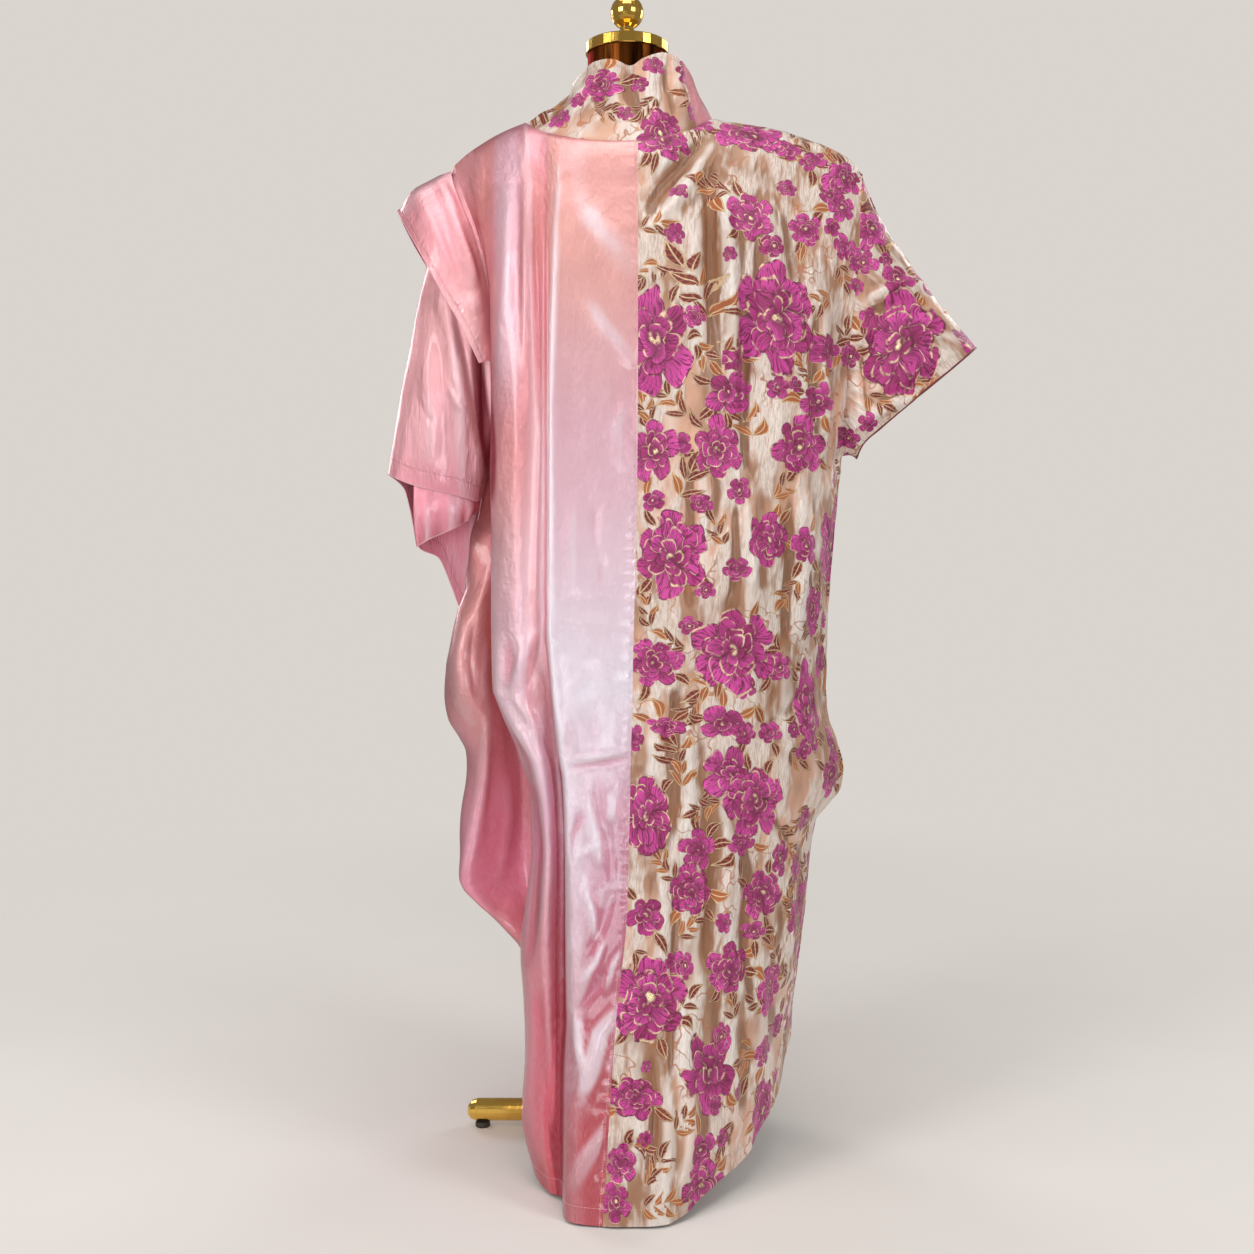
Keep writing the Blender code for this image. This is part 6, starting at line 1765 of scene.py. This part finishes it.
# Flat width and length of each piece as it is built, and its area, since none is a rectangle
cuts = {
    "back_satin": (0.37, 1.52, 0.45), "side_satin": (0.30, 1.48, 0.25), "front_satin": (0.26, 1.46, 0.29),
    "back_brocade": (0.52, 1.54, 0.55), "front_brocade": (0.42, 1.46, 0.48),
    "left_sleeve": (0.60, 0.48, 0.155), "right_sleeve": (0.62, 0.31, 0.09), "left_cap": (0.40, 0.16, 0.049),
    "collar": (0.52, 0.13, 0.045), "collar_facing": (0.12, 0.10, 0.0095), "sleeve_turn": (0.12, 0.08, 0.0055)}
for name, (made, points, faces) in pieces.items():
    patterned = isPatterned(name)
    outside, inside = (brocade, lining) if patterned else (satin, satinInside)
    if name in ("left_sleeve", "left_cap", "collar_facing", "sleeve_turn"):
        outside, inside = sleeveSatin, sleeveInside
    elif name == "side_satin":
        outside = sideSatin
    edge = lining if name == "right_sleeve" else outside
    for finish in (outside, inside, edge):
        made.data.materials.append(finish)
    if name in frame["nodes"]:
        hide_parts(name)
    for piece in [made, *trims[name]]:
        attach(piece, "root")
    wide, long, area = cuts[name]

slots = {"gold": brass, "form": covering, "foot": rubber}
for node in frame["record"]["subparts"]:
    if node["material_slot"] in slots:
        target = frame["nodes"][node["node"]]
        target.data.materials.clear()
        target.data.materials.append(slots[node["material_slot"]])


# Floor, lights and camera
def floorDisc(radius):
    rings, steps = 24, 96
    points = [(0.0, 0.0, 0.0)]
    faces = []
    for ring in range(1, rings + 1):
        for step in range(steps):
            turn, out = math.tau * step / steps, radius * ring / rings
            points.append((out * math.cos(turn), out * math.sin(turn), 0.0))
    for step in range(steps):
        faces.append((0, 1 + step, 1 + (step + 1) % steps))
    for ring in range(1, rings):
        low, high = 1 + (ring - 1) * steps, 1 + ring * steps
        for step in range(steps):
            after = (step + 1) % steps
            faces.append((low + step, high + step, high + after, low + after))
    mesh = bpy.data.meshes.new("floor")
    mesh.from_pydata(points, [], faces)
    made = placed("floor", mesh)
    finish = Finish("paleFloor", 0.65)
    x, y, z = finish.parts(finish.place)
    away = (x * x + y * y).root()
    mottle = finish.noise(finish.place, 3.0, 3.0)
    finish.set("Base Color", finish.mix(mottle, (0.79, 0.76, 0.73), (0.84, 0.81, 0.775)))
    finish.set("Alpha", 1 - away.soft(radius * 0.14, radius * 0.60))
    mesh.materials.append(finish.made)
    return made


floor = floorDisc(5.0)

studio = {"backdrop": (0.705, 0.660, 0.620), "ambient": 0.36, "light": 0.80}
world = bpy.data.worlds.new("studio")
world.use_nodes = True
sky = world.node_tree
background = sky.nodes["Background"]
background.inputs[0].default_value = (*studio["backdrop"], 1.0)
path = sky.nodes.new("ShaderNodeLightPath")
strength = sky.nodes.new("ShaderNodeMapRange")
strength.inputs["To Min"].default_value = studio["ambient"]
strength.inputs["To Max"].default_value = 1.0
sky.links.new(path.outputs["Is Camera Ray"], strength.inputs["Value"])
sky.links.new(strength.outputs[0], background.inputs[1])
bpy.context.scene.world = world
bpy.context.scene.view_settings.view_transform = "Standard"


def softbox(name, at, target, width, height, power, colour=(1.0, 1.0, 1.0)):
    light = bpy.data.lights.new(name, "AREA")
    light.shape, light.size, light.size_y = "RECTANGLE", width, height
    light.energy, light.color = power * studio["light"], colour
    made = placed(name, light)
    made.location = poleAt + Vector(at)
    made.rotation_euler = (poleAt + Vector(target) - made.location).to_track_quat("-Z", "Y").to_euler()


softbox("keyLeft", (-2.3, -2.2, 2.2), (0, 0, 0.9), 0.9, 1.6, 50.0, (1.0, 0.97, 0.94))
softbox("sheenBox", (-0.15, -3.5, 0.95), (-0.1, -0.2, 0.6), 1.1, 0.7, 26.0, (0.90, 0.93, 1.0))
softbox("fillRight", (2.5, -2.0, 1.9), (0, 0, 0.8), 0.9, 1.6, 40.0, (1.0, 0.98, 0.95))
softbox("topBox", (0.0, -0.6, 3.1), (0, 0, 0.6), 1.6, 1.6, 30.0)
softbox("backLeft", (-2.0, 2.4, 2.0), (0, 0, 0.8), 1.2, 1.6, 34.0)
softbox("backRight", (2.2, 2.2, 2.0), (0, 0, 0.8), 1.2, 1.6, 30.0)

view = bpy.data.cameras.new("camera")
view.sensor_width = 36.0
view.lens = photo["focal"] * 36.0 / photo["size"]
view.shift_y = (photo["horizon"] - photo["middle"]) / photo["size"]
camera = placed("camera", view)
camera.location = poleAt + Vector((0.0, -photo["distance"], photo["height"]))
camera.rotation_euler = (math.pi / 2, 0.0, 0.0)
bpy.context.scene.camera = camera
